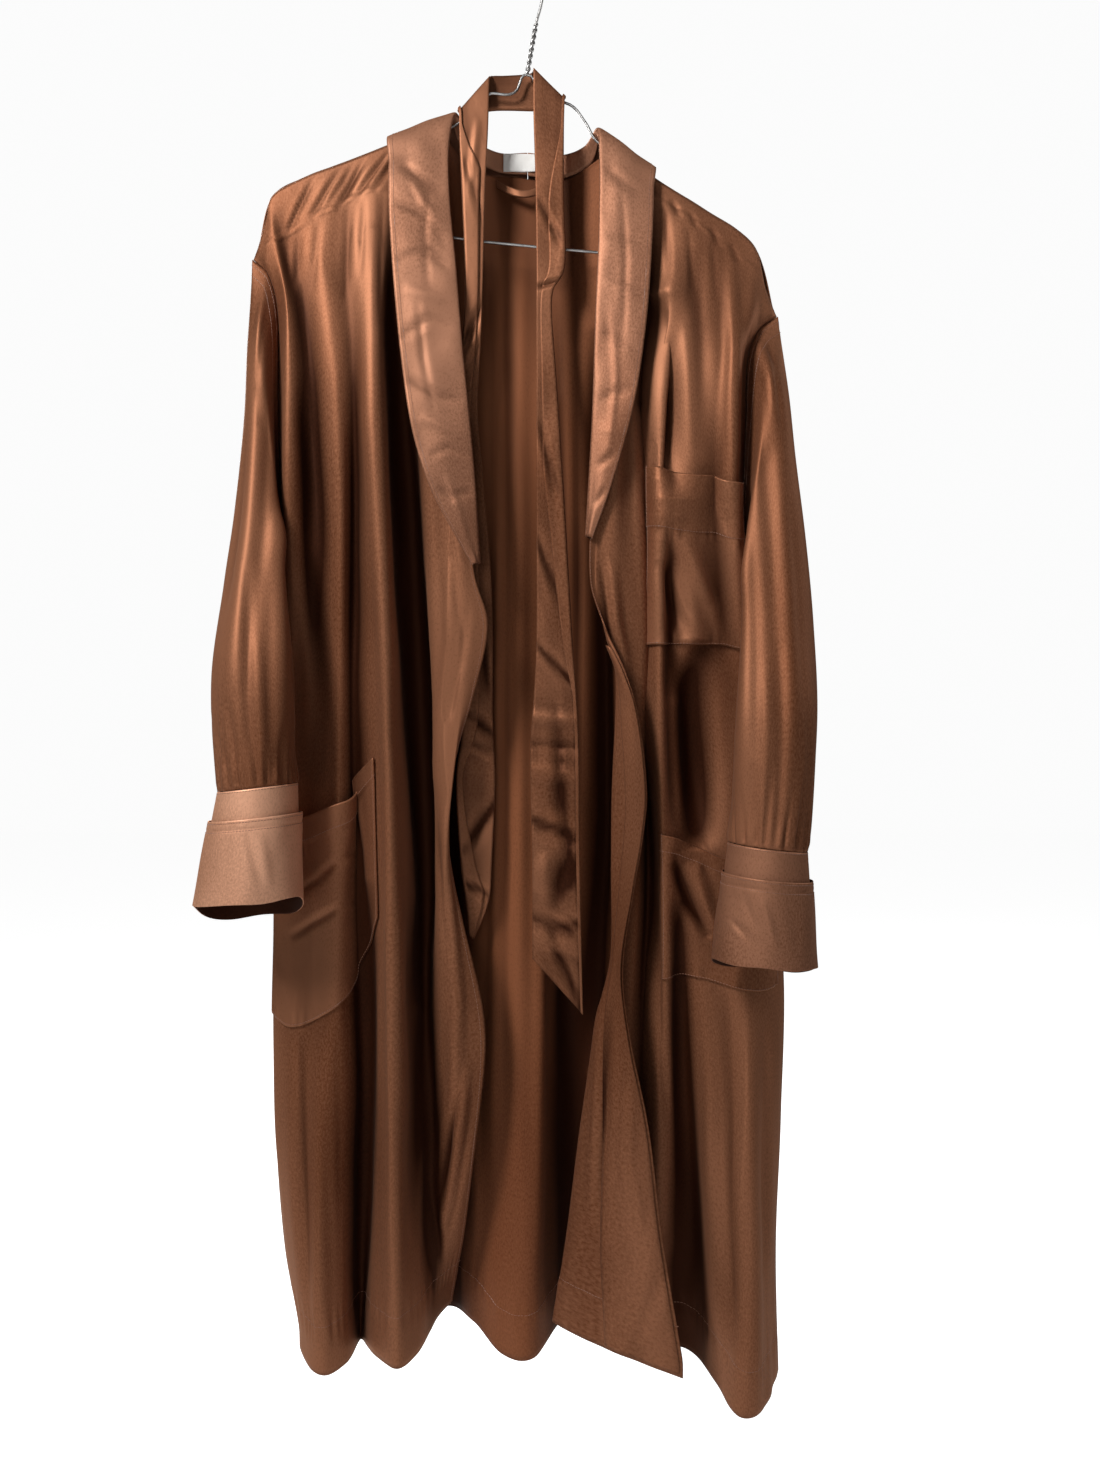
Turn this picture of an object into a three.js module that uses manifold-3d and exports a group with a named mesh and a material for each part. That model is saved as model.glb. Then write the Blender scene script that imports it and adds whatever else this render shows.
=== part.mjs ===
import * as THREE from 'three';
import Module from 'manifold-3d';
import { mergeVertices } from 'three/addons/utils/BufferGeometryUtils.js';

// A long open satin robe on a wire hanger, tilted a little so that the wearer's left hangs lower.
// Sides are the wearer's: the wearer's right is at -X. Millimetres, +Z up, the front faces -Y.
// The origin lies under the crown of the hook, where it rests on a rod.

// Driving dimensions
const CLOTH = 1.6;          // thickness of a single layer
const TURNED = 0.9;         // what a turned-up hem adds on the inside
const SEAM = 0.5;           // space left between two sewn pieces
const LAP = CLOTH + SEAM;   // middle to middle of two layers that lie side by side
const WIRE = 2.5;           // diameter of the hanger's wire
const HEM_DEPTH = 42;
const CUFF_BAND = 26;       // height of the band that shows between the sleeve and its turn-back

const SATIN = { color: 0x7a4c33, roughness: 0.42, metalness: 0 };

// A smooth line through a row of values, each at its own place
function through(places, values) {
  const last = places.length - 1;
  const slopes = values.map((value, i) => {
    const before = Math.max(i - 1, 0);
    const after = Math.min(i + 1, last);
    return (values[after] - values[before]) / (places[after] - places[before]);
  });
  return (at) => {
    let i = 0;
    while (i < last - 1 && at > places[i + 1]) i += 1;
    const span = places[i + 1] - places[i];
    const t = Math.min(Math.max((at - places[i]) / span, 0), 1);
    const rise = t * t * (3 - 2 * t);
    const leaving = t * (1 - t) * (1 - t) * span * slopes[i];
    const arriving = t * t * (t - 1) * span * slopes[i + 1];
    return values[i] + (values[i + 1] - values[i]) * rise + leaving + arriving;
  };
}

// The same for points, with the places taken along the row
function lineThrough(points, places = points.map((point, i) => i)) {
  const axes = [0, 1, 2].map((axis) => through(places, points.map((point) => point[axis])));
  return (at) => new THREE.Vector3(axes[0](at), axes[1](at), axes[2](at));
}

// A closed wall on a grid of middle points: the outside lies half a layer out along the surface,
// and the inside half a layer in. `closed` joins the last column to the first.
function wall(rows, { thick = CLOTH, closed = false, flip = false, inner = () => 0, ends = {} } = {}) {
  const high = rows.length;
  const wide = rows[0].length;
  const along = new THREE.Vector3();
  const across = new THREE.Vector3();
  const positions = [];
  const normalAt = (j, i) => {
    const left = closed ? (i + wide - 1) % wide : Math.max(i - 1, 0);
    const right = closed ? (i + 1) % wide : Math.min(i + 1, wide - 1);
    across.subVectors(rows[j][right], rows[j][left]);
    along.subVectors(rows[Math.min(j + 1, high - 1)][i], rows[Math.max(j - 1, 0)][i]);
    const normal = new THREE.Vector3().crossVectors(along, across).normalize();
    if (flip) normal.negate();
    if (ends.first && i === 0) normal.copy(ends.first(rows[j][i])).normalize();
    if (ends.last && i === wide - 1) normal.copy(ends.last(rows[j][i])).normalize();
    if (ends.top && j === 0) normal.copy(ends.top(rows[j][i])).normalize();
    return normal;
  };
  for (const side of [1, -1]) {
    rows.forEach((row, j) => row.forEach((point, i) => {
      const out = side > 0 ? thick / 2 : -thick / 2 - inner(j / (high - 1), i / (wide - 1));
      positions.push(...point.clone().addScaledVector(normalAt(j, i), out).toArray());
    }));
  }
  const index = [];
  const corner = (side, j, i) => side * high * wide + j * wide + (i % wide);
  const face = (a, b, c, d) => (flip ? index.push(a, c, b, a, d, c) : index.push(a, b, c, a, c, d));
  const cells = closed ? wide : wide - 1;
  const foot = high - 1;
  const end = wide - 1;
  for (let j = 0; j < foot; j += 1) {
    for (let i = 0; i < cells; i += 1) {
      face(corner(0, j, i), corner(0, j + 1, i), corner(0, j + 1, i + 1), corner(0, j, i + 1));
      face(corner(1, j, i), corner(1, j, i + 1), corner(1, j + 1, i + 1), corner(1, j + 1, i));
    }
  }
  for (let i = 0; i < cells; i += 1) {
    face(corner(0, 0, i), corner(0, 0, i + 1), corner(1, 0, i + 1), corner(1, 0, i));
    face(corner(0, foot, i), corner(1, foot, i), corner(1, foot, i + 1), corner(0, foot, i + 1));
  }
  for (let j = 0; j < foot && !closed; j += 1) {
    face(corner(0, j, 0), corner(1, j, 0), corner(1, j + 1, 0), corner(0, j + 1, 0));
    face(corner(0, j, end), corner(0, j + 1, end), corner(1, j + 1, end), corner(1, j, end));
  }
  const geometry = new THREE.BufferGeometry();
  geometry.setAttribute('position', new THREE.Float32BufferAttribute(positions, 3));
  geometry.setIndex(index);
  geometry.computeVertexNormals();
  return geometry;
}

function piece(name, geometry, look = SATIN) {
  const mesh = new THREE.Mesh(geometry, new THREE.MeshStandardMaterial(look));
  mesh.name = name;
  return mesh;
}

// Heights at which the fold tables give each fold's place
const LEVELS = [-400, -520, -700, -900, -1100, -1290];
const ROOF = 3.2;           // how far front and back part at once below the ridge, to clear the wire

// A fold is a line down the cloth: `top` is where it starts, x and y its place at each level, and
// `hem` the height at which it ends. Returns its point at a share of the way down.
function foldLine({ top, x, y, hem, levels = LEVELS }) {
  const used = levels.map((level, i) => i).filter((i) => levels[i] < top[2] - 25);
  const depths = [0, ...used.map((i) => top[2] - levels[i])];
  const xAt = through(depths, [top[0], ...used.map((i) => x[i])]);
  const yAt = through(depths, [top[1], ...used.map((i) => y[i])]);
  const length = top[2] - hem;
  const apart = ROOF * Math.sign(top[1]) * Math.max(1 - Math.abs(top[1]) / ROOF, 0);
  return (share) => {
    const depth = share * length;
    const roof = apart * Math.min(depth / ROOF, 1) * Math.exp(-depth / 120);
    return new THREE.Vector3(xAt(depth), yAt(depth) + roof, top[2] - depth);
  };
}

// The middle surface of a piece: point(u, v) with u counted in folds and v the share of the way down.
// A fold is a row of a table, or a line that is already worked out.
function foldedCloth(folds) {
  const lines = folds.map((fold) => (typeof fold === 'function' ? fold : foldLine(fold)));
  return (u, v) => lineThrough(lines.map((line) => line(v).toArray()))(u);
}

function gridOf(cloth, columns, shares) {
  return shares.map((v) => columns.map((u) => cloth(u, v)));
}

function steps(from, to, count) {
  return Array.from({ length: count + 1 }, (value, i) => from + ((to - from) * i) / count);
}

// Shares of the way down: the ridge, the roof over the wire, then rows that widen, and the hem's fold
const NEAR_RIDGE = 10;
const WIDENING = 1.35;
function panelShares(count, length) {
  const rest = length - HEM_DEPTH - ROOF - NEAR_RIDGE;
  const body = steps(0, 1, count).map((t) => (ROOF + NEAR_RIDGE * t + rest * t ** WIDENING) / length);
  return [0, ...body, 1];
}

// Armholes and side seams, by height. The front's edge and the back's edge part at the shoulder
// point, and meet again at the underarm: `gap` is the space between them.
const RIGHT_SIDE = {
  z: [-297, -312, -350, -430, -500, -540, -620, -760, -940, -1100, -1220, -1300],
  x: [-255, -240, -231, -230, -230, -230, -232, -234, -236, -236, -227, -211],
  y: [0, 4, 7, 8, 8, 8, 9, 10, 10, 8, 6, 4],
  gap: [0, 14, 24, 27, 16, 0, 0, 0, 0, 0, 0, 0],
};
const LEFT_SIDE = {
  z: [-350, -362, -390, -450, -520, -560, -640, -760, -960, -1100, -1220, -1335],
  x: [233, 216, 205, 203, 201, 200, 206, 222, 241, 238, 233, 235],
  y: [0, 3, 6, 7, 8, 8, 9, 10, 10, 8, 6, 4],
  gap: [0, 12, 22, 26, 16, 0, 0, 0, 0, 0, 0, 0],
};

// The edge of the front (towards = -1) or of the back (towards = 1) at one height
function sideEdge(side, towards) {
  const fallen = side.z.map((z) => -z);
  const xAt = through(fallen, side.x);
  const yAt = through(fallen, side.y);
  const gapAt = through(fallen, side.gap);
  return (z) => {
    const open = Math.max(gapAt(-z), 0);
    return new THREE.Vector3(xAt(-z), yAt(-z) + towards * (open / 2 + SEAM / 2), z);
  };
}

// Folds of the right front, from the side to the front edge
const RIGHT_FRONT = [
  { name: 'side turn', top: [-250, -SEAM / 2, -284], hem: -1303,
    levels: [-315, -345, ...LEVELS],
    x: [-235, -227, -225, -226, -229, -233, -232, -208], y: [-8, -12, -15, -14, -3, -3, -8, -18] },
  { name: 'side ridge', top: [-243, -SEAM / 2, -258], hem: -1309,
    levels: [-300, -345, ...LEVELS],
    x: [-230, -220, -217, -217, -216, -222, -216, -193], y: [-12, -22, -28, -28, -7, -8, -24, -44] },
  { name: 'side hollow', top: [-236, -SEAM / 2, -236], hem: -1312,
    x: [-199, -199, -198, -200, -196, -177], y: [-20, -14, -9, -13, -30, -50] },
  { name: 'middle ridge', top: [-205, -SEAM / 2, -219], hem: -1309,
    x: [-176, -170, -172, -172, -170, -163], y: [-28, -28, -22, -26, -30, -34] },
  { name: 'middle hollow', top: [-178, -SEAM / 2, -209], hem: -1304,
    x: [-159, -157, -158, -156, -152, -155], y: [-24, -17, -14, -12, -6, 0] },
  { name: 'long ridge side', top: [-152, -SEAM / 2, -199], hem: -1302,
    x: [-143, -141, -137, -133, -132, -137], y: [-32, -38, -36, -34, -34, -34] },
  { name: 'long ridge', top: [-132, -SEAM / 2, -191], hem: -1301,
    x: [-132, -126, -122, -119, -119, -114], y: [-30, -38, -46, -50, -54, -60] },
  { name: 'deep hollow', top: [-114, -SEAM / 2, -184], hem: -1299,
    x: [-116, -108, -102, -96, -101, -99], y: [-8, 2, 5, 6, -14, -38] },
  { name: 'edge slope', top: [-104, -SEAM / 2, -180], hem: -1294,
    x: [-100, -88, -84, -88, -84, -90], y: [-12, -18, -20, -14, -10, -6] },
  { name: 'edge ridge', top: [-95, -SEAM / 2, -176], hem: -1288,
    x: [-82, -68, -62, -76, -60, -84], y: [-25, -30, -32, -28, -22, 12] },
  { name: 'free edge', top: [-86, -SEAM / 2, -172], hem: -1281,
    levels: [-210, -254, -345, -436, -508, -581, -600, -640, -700, -750, -812, -863, -913, -990, -1035, -1131,
      -1213, -1279],
    x: [-77, -76, -66, -58, -51, -49, -46, -35, -47, -62, -74, -69, -58, -40, -38, -49, -60, -72],
    y: [-8, -13, -20, -25, -28, -30, -30, -29, -28, -26, -22, -20, -20, -22, -20, -12, 6, 28] },
];

// Folds of the left front, from the side to the free edge that is flipped outward below the waist
const LEFT_FRONT = [
  { name: 'side turn', top: [230, -SEAM / 2, -344], hem: -1337,
    levels: [-372, ...LEVELS],
    x: [207, 199, 196, 214, 231, 231, 226], y: [-9, -13, -14, -3, -3, -8, -20] },
  { name: 'side ridge', top: [222, -SEAM / 2, -322], hem: -1342,
    levels: [-360, ...LEVELS],
    x: [205, 192, 189, 202, 216, 214, 208], y: [-16, -27, -30, -8, -10, -30, -56] },
  { name: 'second ridge', top: [214, -SEAM / 2, -288], hem: -1342,
    x: [176, 172, 182, 194, 190, 186], y: [-26, -22, -10, -16, -36, -60] },
  { name: 'side hollow', top: [196, -SEAM / 2, -269], hem: -1325,
    x: [158, 152, 158, 166, 164, 167], y: [-26, -26, -18, -16, -20, -16] },
  { name: 'middle slope', top: [172, -SEAM / 2, -254], hem: -1314,
    x: [138, 134, 136, 142, 142, 148], y: [-28, -30, -26, -18, -8, 2] },
  { name: 'middle ridge', top: [148, -SEAM / 2, -239], hem: -1310,
    x: [122, 120, 120, 124, 122, 122], y: [-32, -30, -30, -26, -16, -2] },
  { name: 'deep hollow', top: [124, -SEAM / 2, -224], hem: -1306,
    x: [108, 108, 110, 112, 104, 94], y: [-8, -2, -4, -6, -4, 0] },
  { name: 'front slope', top: [108, -SEAM / 2, -212], hem: -1300,
    x: [98, 96, 102, 102, 84, 62], y: [-14, -16, -18, -18, -6, 4] },
  { name: 'front ridge', top: [97, -SEAM / 2, -204], hem: -1294,
    x: [86, 83, 92, 91, 66, 40], y: [-22, -29, -26, -22, -6, 6] },
  { name: 'fold line', top: [91, -SEAM / 2, -199], hem: -1290,
    levels: [-300, -400, -520, -600, -640, -680, -720, -800, -860, -940, -1000, -1100, -1200, -1290],
    x: [79, 76, 70, 66, 72, 81, 81, 78, 77, 77, 64, 50, 38, 25],
    y: [-14, -21, -28, -30, -32, -33, -33, -31, -30, -28, -24, -14, -6, 3] },
  { name: 'flap', top: [88, -SEAM / 2, -197], hem: -1295,
    levels: [-300, -400, -520, -600, -640, -680, -720, -800, -860, -940, -1000, -1100, -1200, -1290],
    x: [74, 71, 65, 62, 70, 83, 87, 91, 87, 80, 72, 70, 68, 72],
    y: [-14.5, -21.5, -28, -30, -35, -40, -42, -42, -40, -37, -36, -35, -34, -36] },
  { name: 'free edge', top: [85, -SEAM / 2, -195], hem: -1304,
    levels: [-300, -400, -520, -600, -640, -680, -720, -790, -830, -880, -950, -1010, -1090, -1180, -1290],
    x: [69, 66, 60, 58, 70, 88, 100, 108, 105, 97, 87, 93, 109, 120, 138],
    y: [-15, -22, -28, -31, -37, -45, -48, -50, -48, -46, -44, -48, -56, -62, -70] },
];

// Folds of the back, from the wearer's right side to the left side
const BACK = [
  { name: 'right turn', top: [-250, SEAM / 2, -284], hem: -1303,
    levels: [-315, -345, ...LEVELS],
    x: [-236, -227, -225, -226, -230, -233, -232, -208], y: [10, 17, 22, 24, 24, 24, 24, 22] },
  { name: 'right ridge', top: [-237, SEAM / 2, -237], hem: -1306,
    x: [-208, -205, -208, -210, -205, -188], y: [27, 36, 40, 42, 44, 46] },
  { name: 'right fold', top: [-200, SEAM / 2, -217], hem: -1306,
    x: [-172, -165, -162, -160, -155, -150], y: [28, 42, 48, 52, 56, 60] },
  { name: 'right hollow', top: [-150, SEAM / 2, -198], hem: -1304,
    x: [-132, -124, -120, -118, -112, -110], y: [28, 32, 34, 34, 34, 34] },
  { name: 'right inner fold', top: [-110, 1.2, -182], hem: -1304,
    x: [-100, -88, -85, -82, -80, -78], y: [28, 42, 48, 54, 60, 66] },
  { name: 'right neck point', top: [-84, 2, -172], hem: -1306,
    x: [-66, -54, -50, -48, -46, -50], y: [28, 32, 32, 32, 30, 38] },
  { name: 'centre fold, right', top: [-54, 22, -203], hem: -1325,
    x: [-34, -24, -22, -20, -20, -24], y: [29, 28, 24, 22, 18, 14] },
  { name: 'centre fold, left', top: [-10, 30, -207], hem: -1327,
    x: [0, 6, 10, 10, 8, 6], y: [30, 32, 28, 24, 16, 12] },
  { name: 'left hollow', top: [36, 28, -210], hem: -1313,
    x: [38, 40, 40, 38, 38, 36], y: [30, 46, 54, 58, 60, 62] },
  { name: 'left neck point', top: [84, 2, -195], hem: -1315,
    x: [74, 74, 74, 74, 74, 74], y: [28, 40, 46, 50, 54, 58] },
  { name: 'left inner fold', top: [120, 1.2, -221], hem: -1320,
    x: [106, 106, 110, 114, 114, 114], y: [28, 34, 36, 38, 40, 40] },
  { name: 'left fold', top: [165, SEAM / 2, -249], hem: -1326,
    x: [142, 142, 152, 158, 158, 158], y: [28, 42, 50, 54, 58, 62] },
  { name: 'left ridge', top: [212, SEAM / 2, -284], hem: -1330,
    x: [176, 172, 190, 204, 204, 202], y: [27, 34, 40, 42, 44, 46] },
  { name: 'left turn', top: [230, SEAM / 2, -344], hem: -1334,
    levels: [-372, ...LEVELS],
    x: [206, 199, 197, 214, 231, 231, 228], y: [13, 19, 22, 23, 24, 24, 24] },
];

// The edge at the side as one more fold of a panel: it follows the armhole, then the side seam
function sideFold(side, towards) {
  const edge = sideEdge(side, towards);
  const top = side.z[0];
  const hem = side.z[side.z.length - 1];
  return (share) => edge(top + (hem - top) * share);
}

const hemTurn = (v) => (v === 1 ? TURNED : 0);
const towardsRight = () => new THREE.Vector3(-1, 0, 0);
const towardsLeft = () => new THREE.Vector3(1, 0, 0);
const shoulderUp = (point) => new THREE.Vector3(Math.sign(point.x) * 0.4, 0, 1);
const PANEL_LENGTH = 1120;
const PANEL_ROWS = 16;

const rightFront = foldedCloth([sideFold(RIGHT_SIDE, -1), ...RIGHT_FRONT]);
const leftFront = foldedCloth([sideFold(LEFT_SIDE, -1), ...LEFT_FRONT]);
const back = foldedCloth([sideFold(RIGHT_SIDE, 1), ...BACK, sideFold(LEFT_SIDE, 1)]);

function panel(name, cloth, folds, options) {
  const columns = steps(0, folds, folds * 2);
  const rows = gridOf(cloth, columns, panelShares(PANEL_ROWS, PANEL_LENGTH));
  return piece(name, wall(rows, { inner: hemTurn, ...options }));
}

// Eight lines run down a sleeve: underarm, inner front, front, outer front, outside, outer back,
// back, inner back. `top` is the height at which each starts on the armhole.
const SLEEVE_LINES = 8;
const RIGHT_SLEEVE = {
  side: RIGHT_SIDE, out: -1, clear: 1.9, top: [-540, -440, -340, -305, -297, -305, -340, -440],
  levels: [-380, -450, -540, -600, -690],
  x: [[0, 0, 0, -234, -213], [0, -233, -224, -215, -208], [-241, -243, -246, -248, -247],
    [-252, -254, -258, -262, -269], [-258, -261, -268, -274, -281], [-252, -256, -263, -268, -275],
    [-240, -246, -254, -258, -258], [0, -236, -241, -247, -236]],
  y: [[0, 0, 0, -12, -34], [0, -18, -38, -56, -82], [-30, -34, -52, -68, -94],
    [-24, -28, -40, -54, -78], [-8, -12, -22, -32, -46], [10, 14, 12, 2, -18],
    [24, 28, 26, 16, -6], [0, 24, 22, 8, -14]],
};
const LEFT_SLEEVE = {
  side: LEFT_SIDE, out: 1, clear: 3.2, top: [-560, -460, -385, -364, -350, -364, -385, -460],
  levels: [-420, -490, -560, -640, -730],
  x: [[0, 0, 0, 208, 191], [0, 207, 198, 193, 188], [219, 224, 228, 230, 228],
    [234, 240, 246, 250, 251], [242, 248, 254, 259, 260], [235, 242, 248, 253, 254],
    [224, 231, 237, 240, 236], [0, 209, 214, 224, 212]],
  y: [[0, 0, 0, -16, -46], [0, -26, -46, -64, -86], [-32, -40, -54, -72, -94],
    [-26, -34, -44, -58, -78], [-8, -14, -22, -32, -46], [12, 14, 8, -2, -22],
    [24, 28, 22, 10, -12], [0, 24, 20, 4, -26]],
};

// Each cuff is a flared ring: middle and half widths at the sleeve's seam and at the folded bottom.
// It hangs lower on the outside of the arm by `tilt`.
const RIGHT_CUFF = {
  out: -1, top: [-236, -64, -786], bottom: [-243, -70, -884], wide: [34, 44], deep: [37, 42], tilt: 8,
};
const LEFT_CUFF = {
  out: 1, top: [213, -66, -838], bottom: [209, -72, -938], wide: [34, 43], deep: [37, 42], tilt: 8,
};

// A point on a cuff's ring: `turn` counts eighths from the underarm forward, `down` is 0 at the
// sleeve's seam and 1 at the folded bottom, `off` moves it away from the arm.
function cuffPoint(cuff, turn, down, off = 0) {
  const angle = (turn / SLEEVE_LINES) * Math.PI * 2;
  const middle = new THREE.Vector3(...cuff.top).lerp(new THREE.Vector3(...cuff.bottom), down);
  const wide = THREE.MathUtils.lerp(...cuff.wide, down) + off;
  const deep = THREE.MathUtils.lerp(...cuff.deep, down) + off;
  return middle.add(new THREE.Vector3(
    -cuff.out * Math.cos(angle) * wide,
    -Math.sin(angle) * deep,
    cuff.tilt * Math.cos(angle) / 2,
  ));
}

// A closed round of cloth: the spline through the eight lines is carried on past both ends
function roundThrough(points) {
  const padded = [...points.slice(-2), ...points, ...points.slice(0, 3)];
  const line = lineThrough(padded);
  return (turn) => line(turn + 2);
}

function sleevePiece(name, sleeve, cuff) {
  const front = sideEdge(sleeve.side, -1);
  const behind = sideEdge(sleeve.side, 1);
  const lap = new THREE.Vector3(sleeve.out * (LAP + sleeve.clear), 0, 0);
  const onArmhole = (turn, z) => (turn <= SLEEVE_LINES / 2 ? front(z) : behind(z)).add(lap);
  const tops = sleeve.top.map((z, i) => onArmhole(i, z).toArray());
  const lines = sleeve.top.map((z, i) => {
    const start = tops[i];
    const end = cuffPoint(cuff, i, 0).toArray();
    const used = sleeve.levels.map((level, k) => k).filter((k) => sleeve.levels[k] < z - 8);
    const depths = [0, ...used.map((k) => z - sleeve.levels[k]), z - end[2]];
    const xAt = through(depths, [start[0], ...used.map((k) => sleeve.x[i][k]), end[0]]);
    const yAt = through(depths, [start[1], ...used.map((k) => sleeve.y[i][k]), end[1]]);
    const length = z - end[2];
    return (share) => [xAt(share * length), yAt(share * length), z - share * length];
  });
  const topRound = roundThrough(tops);
  const cloth = (turn, share) => {
    const point = roundThrough(lines.map((line) => line(share)))(turn);
    const top = topRound(turn);
    const missed = onArmhole(turn, top.z).sub(top);
    return point.addScaledVector(missed, (1 - share) ** 6);
  };
  const columns = steps(0, SLEEVE_LINES, SLEEVE_LINES * 2).slice(0, -1);
  const rows = gridOf(cloth, columns, steps(0, 1, 14));
  return piece(name, wall(rows, { closed: true, flip: sleeve.out > 0 }));
}

// The band runs inside the turn-back nearly to the folded bottom, and the turn-back clears it
const BAND_FOOT = 0.97;
const TURN_BACK_OUT = LAP + 0.4;
function cuffPieces(side, cuff) {
  const columns = steps(0, SLEEVE_LINES, SLEEVE_LINES * 3).slice(0, -1);
  const height = cuff.top[2] - cuff.bottom[2];
  const seam = SEAM / height;
  const edge = CUFF_BAND / height;
  const band = gridOf((turn, down) => cuffPoint(cuff, turn, down), columns, [seam, edge, BAND_FOOT]);
  const turned = gridOf((turn, down) => cuffPoint(cuff, turn, down, TURN_BACK_OUT), columns, [edge, 0.6, 1]);
  const flip = cuff.out > 0;
  return [
    piece(`cuff_band_${side}`, wall(band, { closed: true, flip })),
    piece(`cuff_${side}`, wall(turned, { closed: true, flip })),
  ];
}

// The shawl collar, from the centre back over the shoulder to the break point. `roll` is its fold,
// `edge` its outer edge, `front` the side on which the leaf lies, `stand` the depth of cloth inside.
const RIGHT_COLLAR = [
  { roll: [-0.3, 31, -184], edge: [-0.3, 45, -246], front: [0, 1, 0], stand: 21 },
  { roll: [-28, 30, -184], edge: [-36, 44, -243], front: [-0.1, 1, 0.05], stand: 18 },
  { roll: [-54, 18, -175], edge: [-92, 38, -221], front: [-0.4, 0.9, 0.4], stand: 14 },
  { roll: [-67, -1, -162.5], edge: [-127, -1, -184], front: [-0.42, 0, 0.9], stand: 6 },
  { roll: [-73, -8, -195], edge: [-127, -13, -215], front: [-0.3, -0.9, 0.3], stand: 6 },
  { roll: [-72, -13, -246], edge: [-126, -21, -262], front: [-0.1, -1, 0.05], stand: 6 },
  { roll: [-66, -18, -310], edge: [-121, -26, -330], front: [0, -1, 0], stand: 6 },
  { roll: [-59, -23, -392], edge: [-113, -31, -405], front: [0, -1, 0], stand: 6 },
  { roll: [-52, -26, -460], edge: [-103, -36, -466], front: [0, -1, 0], stand: 6 },
  { roll: [-47, -28, -513], edge: [-87, -38, -516], front: [0, -1, 0], stand: 6 },
  { roll: [-44, -30, -555], edge: [-66, -37, -557], front: [0, -1, 0], stand: 5 },
  { roll: [-42, -31, -584], edge: [-49, -36, -586], front: [0, -1, 0], stand: 4 },
];
const LEFT_COLLAR = [
  { roll: [0.3, 31, -184], edge: [0.3, 45, -246], front: [0, 1, 0], stand: 22 },
  { roll: [30, 30, -187], edge: [38, 44, -251], front: [0.1, 1, 0.05], stand: 22 },
  { roll: [54, 18, -184], edge: [88, 36, -240], front: [0.4, 0.9, 0.4], stand: 16 },
  { roll: [66, -1, -177], edge: [117, -1, -213], front: [0.6, 0, 0.8], stand: 6 },
  { roll: [68, -8, -215], edge: [117, -13, -240], front: [0.3, -0.9, 0.3], stand: 6 },
  { roll: [67, -14, -282], edge: [115, -20, -290], front: [0.1, -1, 0.05], stand: 6 },
  { roll: [64, -19, -350], edge: [110, -26, -358], front: [0, -1, 0], stand: 6 },
  { roll: [61, -24, -436], edge: [98, -33, -440], front: [0, -1, 0], stand: 6 },
  { roll: [57, -28, -510], edge: [78, -35, -512], front: [0, -1, 0], stand: 5 },
  { roll: [54, -30, -560], edge: [60, -35, -562], front: [0, -1, 0], stand: 4 },
];
const ROLL = 3.4;           // half the width of the collar's fold

// Six points cross the collar: two on its inside, the fold, and three on the leaf
function collarLine({ roll, edge, front, stand }) {
  const fold = new THREE.Vector3(...roll);
  const outer = new THREE.Vector3(...edge);
  const facing = new THREE.Vector3(...front).normalize();
  const inward = outer.clone().sub(fold);
  inward.addScaledVector(facing, -inward.dot(facing)).normalize();
  const place = (along, off) => {
    const point = fold.clone().addScaledVector(inward, along);
    return point.addScaledVector(facing, off).toArray();
  };
  const middle = fold.clone().lerp(outer, 0.5).addScaledVector(facing, ROLL * 0.7).toArray();
  const near = 0.7 * ROLL;
  return [place(stand, -ROLL), place(near, -ROLL * 0.9), place(0, 0), place(near, ROLL * 0.9), middle, edge];
}

function collarPiece(name, stations, flip) {
  const sections = stations.map(collarLine);
  const lines = sections[0].map((point, i) => lineThrough(sections.map((section) => section[i])));
  const cloth = (u, v) => lineThrough(lines.map((line) => line(v).toArray()))(u);
  const last = stations.length - 1;
  const rows = gridOf(cloth, [0, 1, 1.5, 2, 2.5, 3, 4, 5], steps(0, last, last * 2));
  return piece(name, wall(rows, { flip }));
}

// A patch on a panel, between two of its folds, a lap away from it. Its columns are the panel's own.
// `mouth` and `bottom` are shares of the way down, from one side to the other.
function patch(name, cloth, { from, to, rows, mouth, bottom, gape = 0, flip = false, out = LAP + 0.2 }) {
  const normalAt = (u, v) => {
    const across = cloth(u + 0.25, v).sub(cloth(u - 0.25, v));
    const along = cloth(u, v + 0.01).sub(cloth(u, v - 0.01));
    return along.cross(across).normalize().multiplyScalar(flip ? -1 : 1);
  };
  const topAt = through(steps(0, 1, mouth.length - 1), mouth);
  const bottomAt = through(steps(0, 1, bottom.length - 1), bottom);
  const columns = steps(from, to, Math.round((to - from) * 2));
  const grid = steps(0, 1, rows).map((down) => columns.map((u) => {
    const share = (u - from) / (to - from);
    const v = THREE.MathUtils.lerp(topAt(share), bottomAt(share), down);
    const open = gape * Math.sin(Math.PI * share) * (1 - down) ** 2;
    return cloth(u, v).addScaledVector(normalAt(u, v), out + open);
  }));
  return piece(name, wall(grid, { flip }));
}

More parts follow.
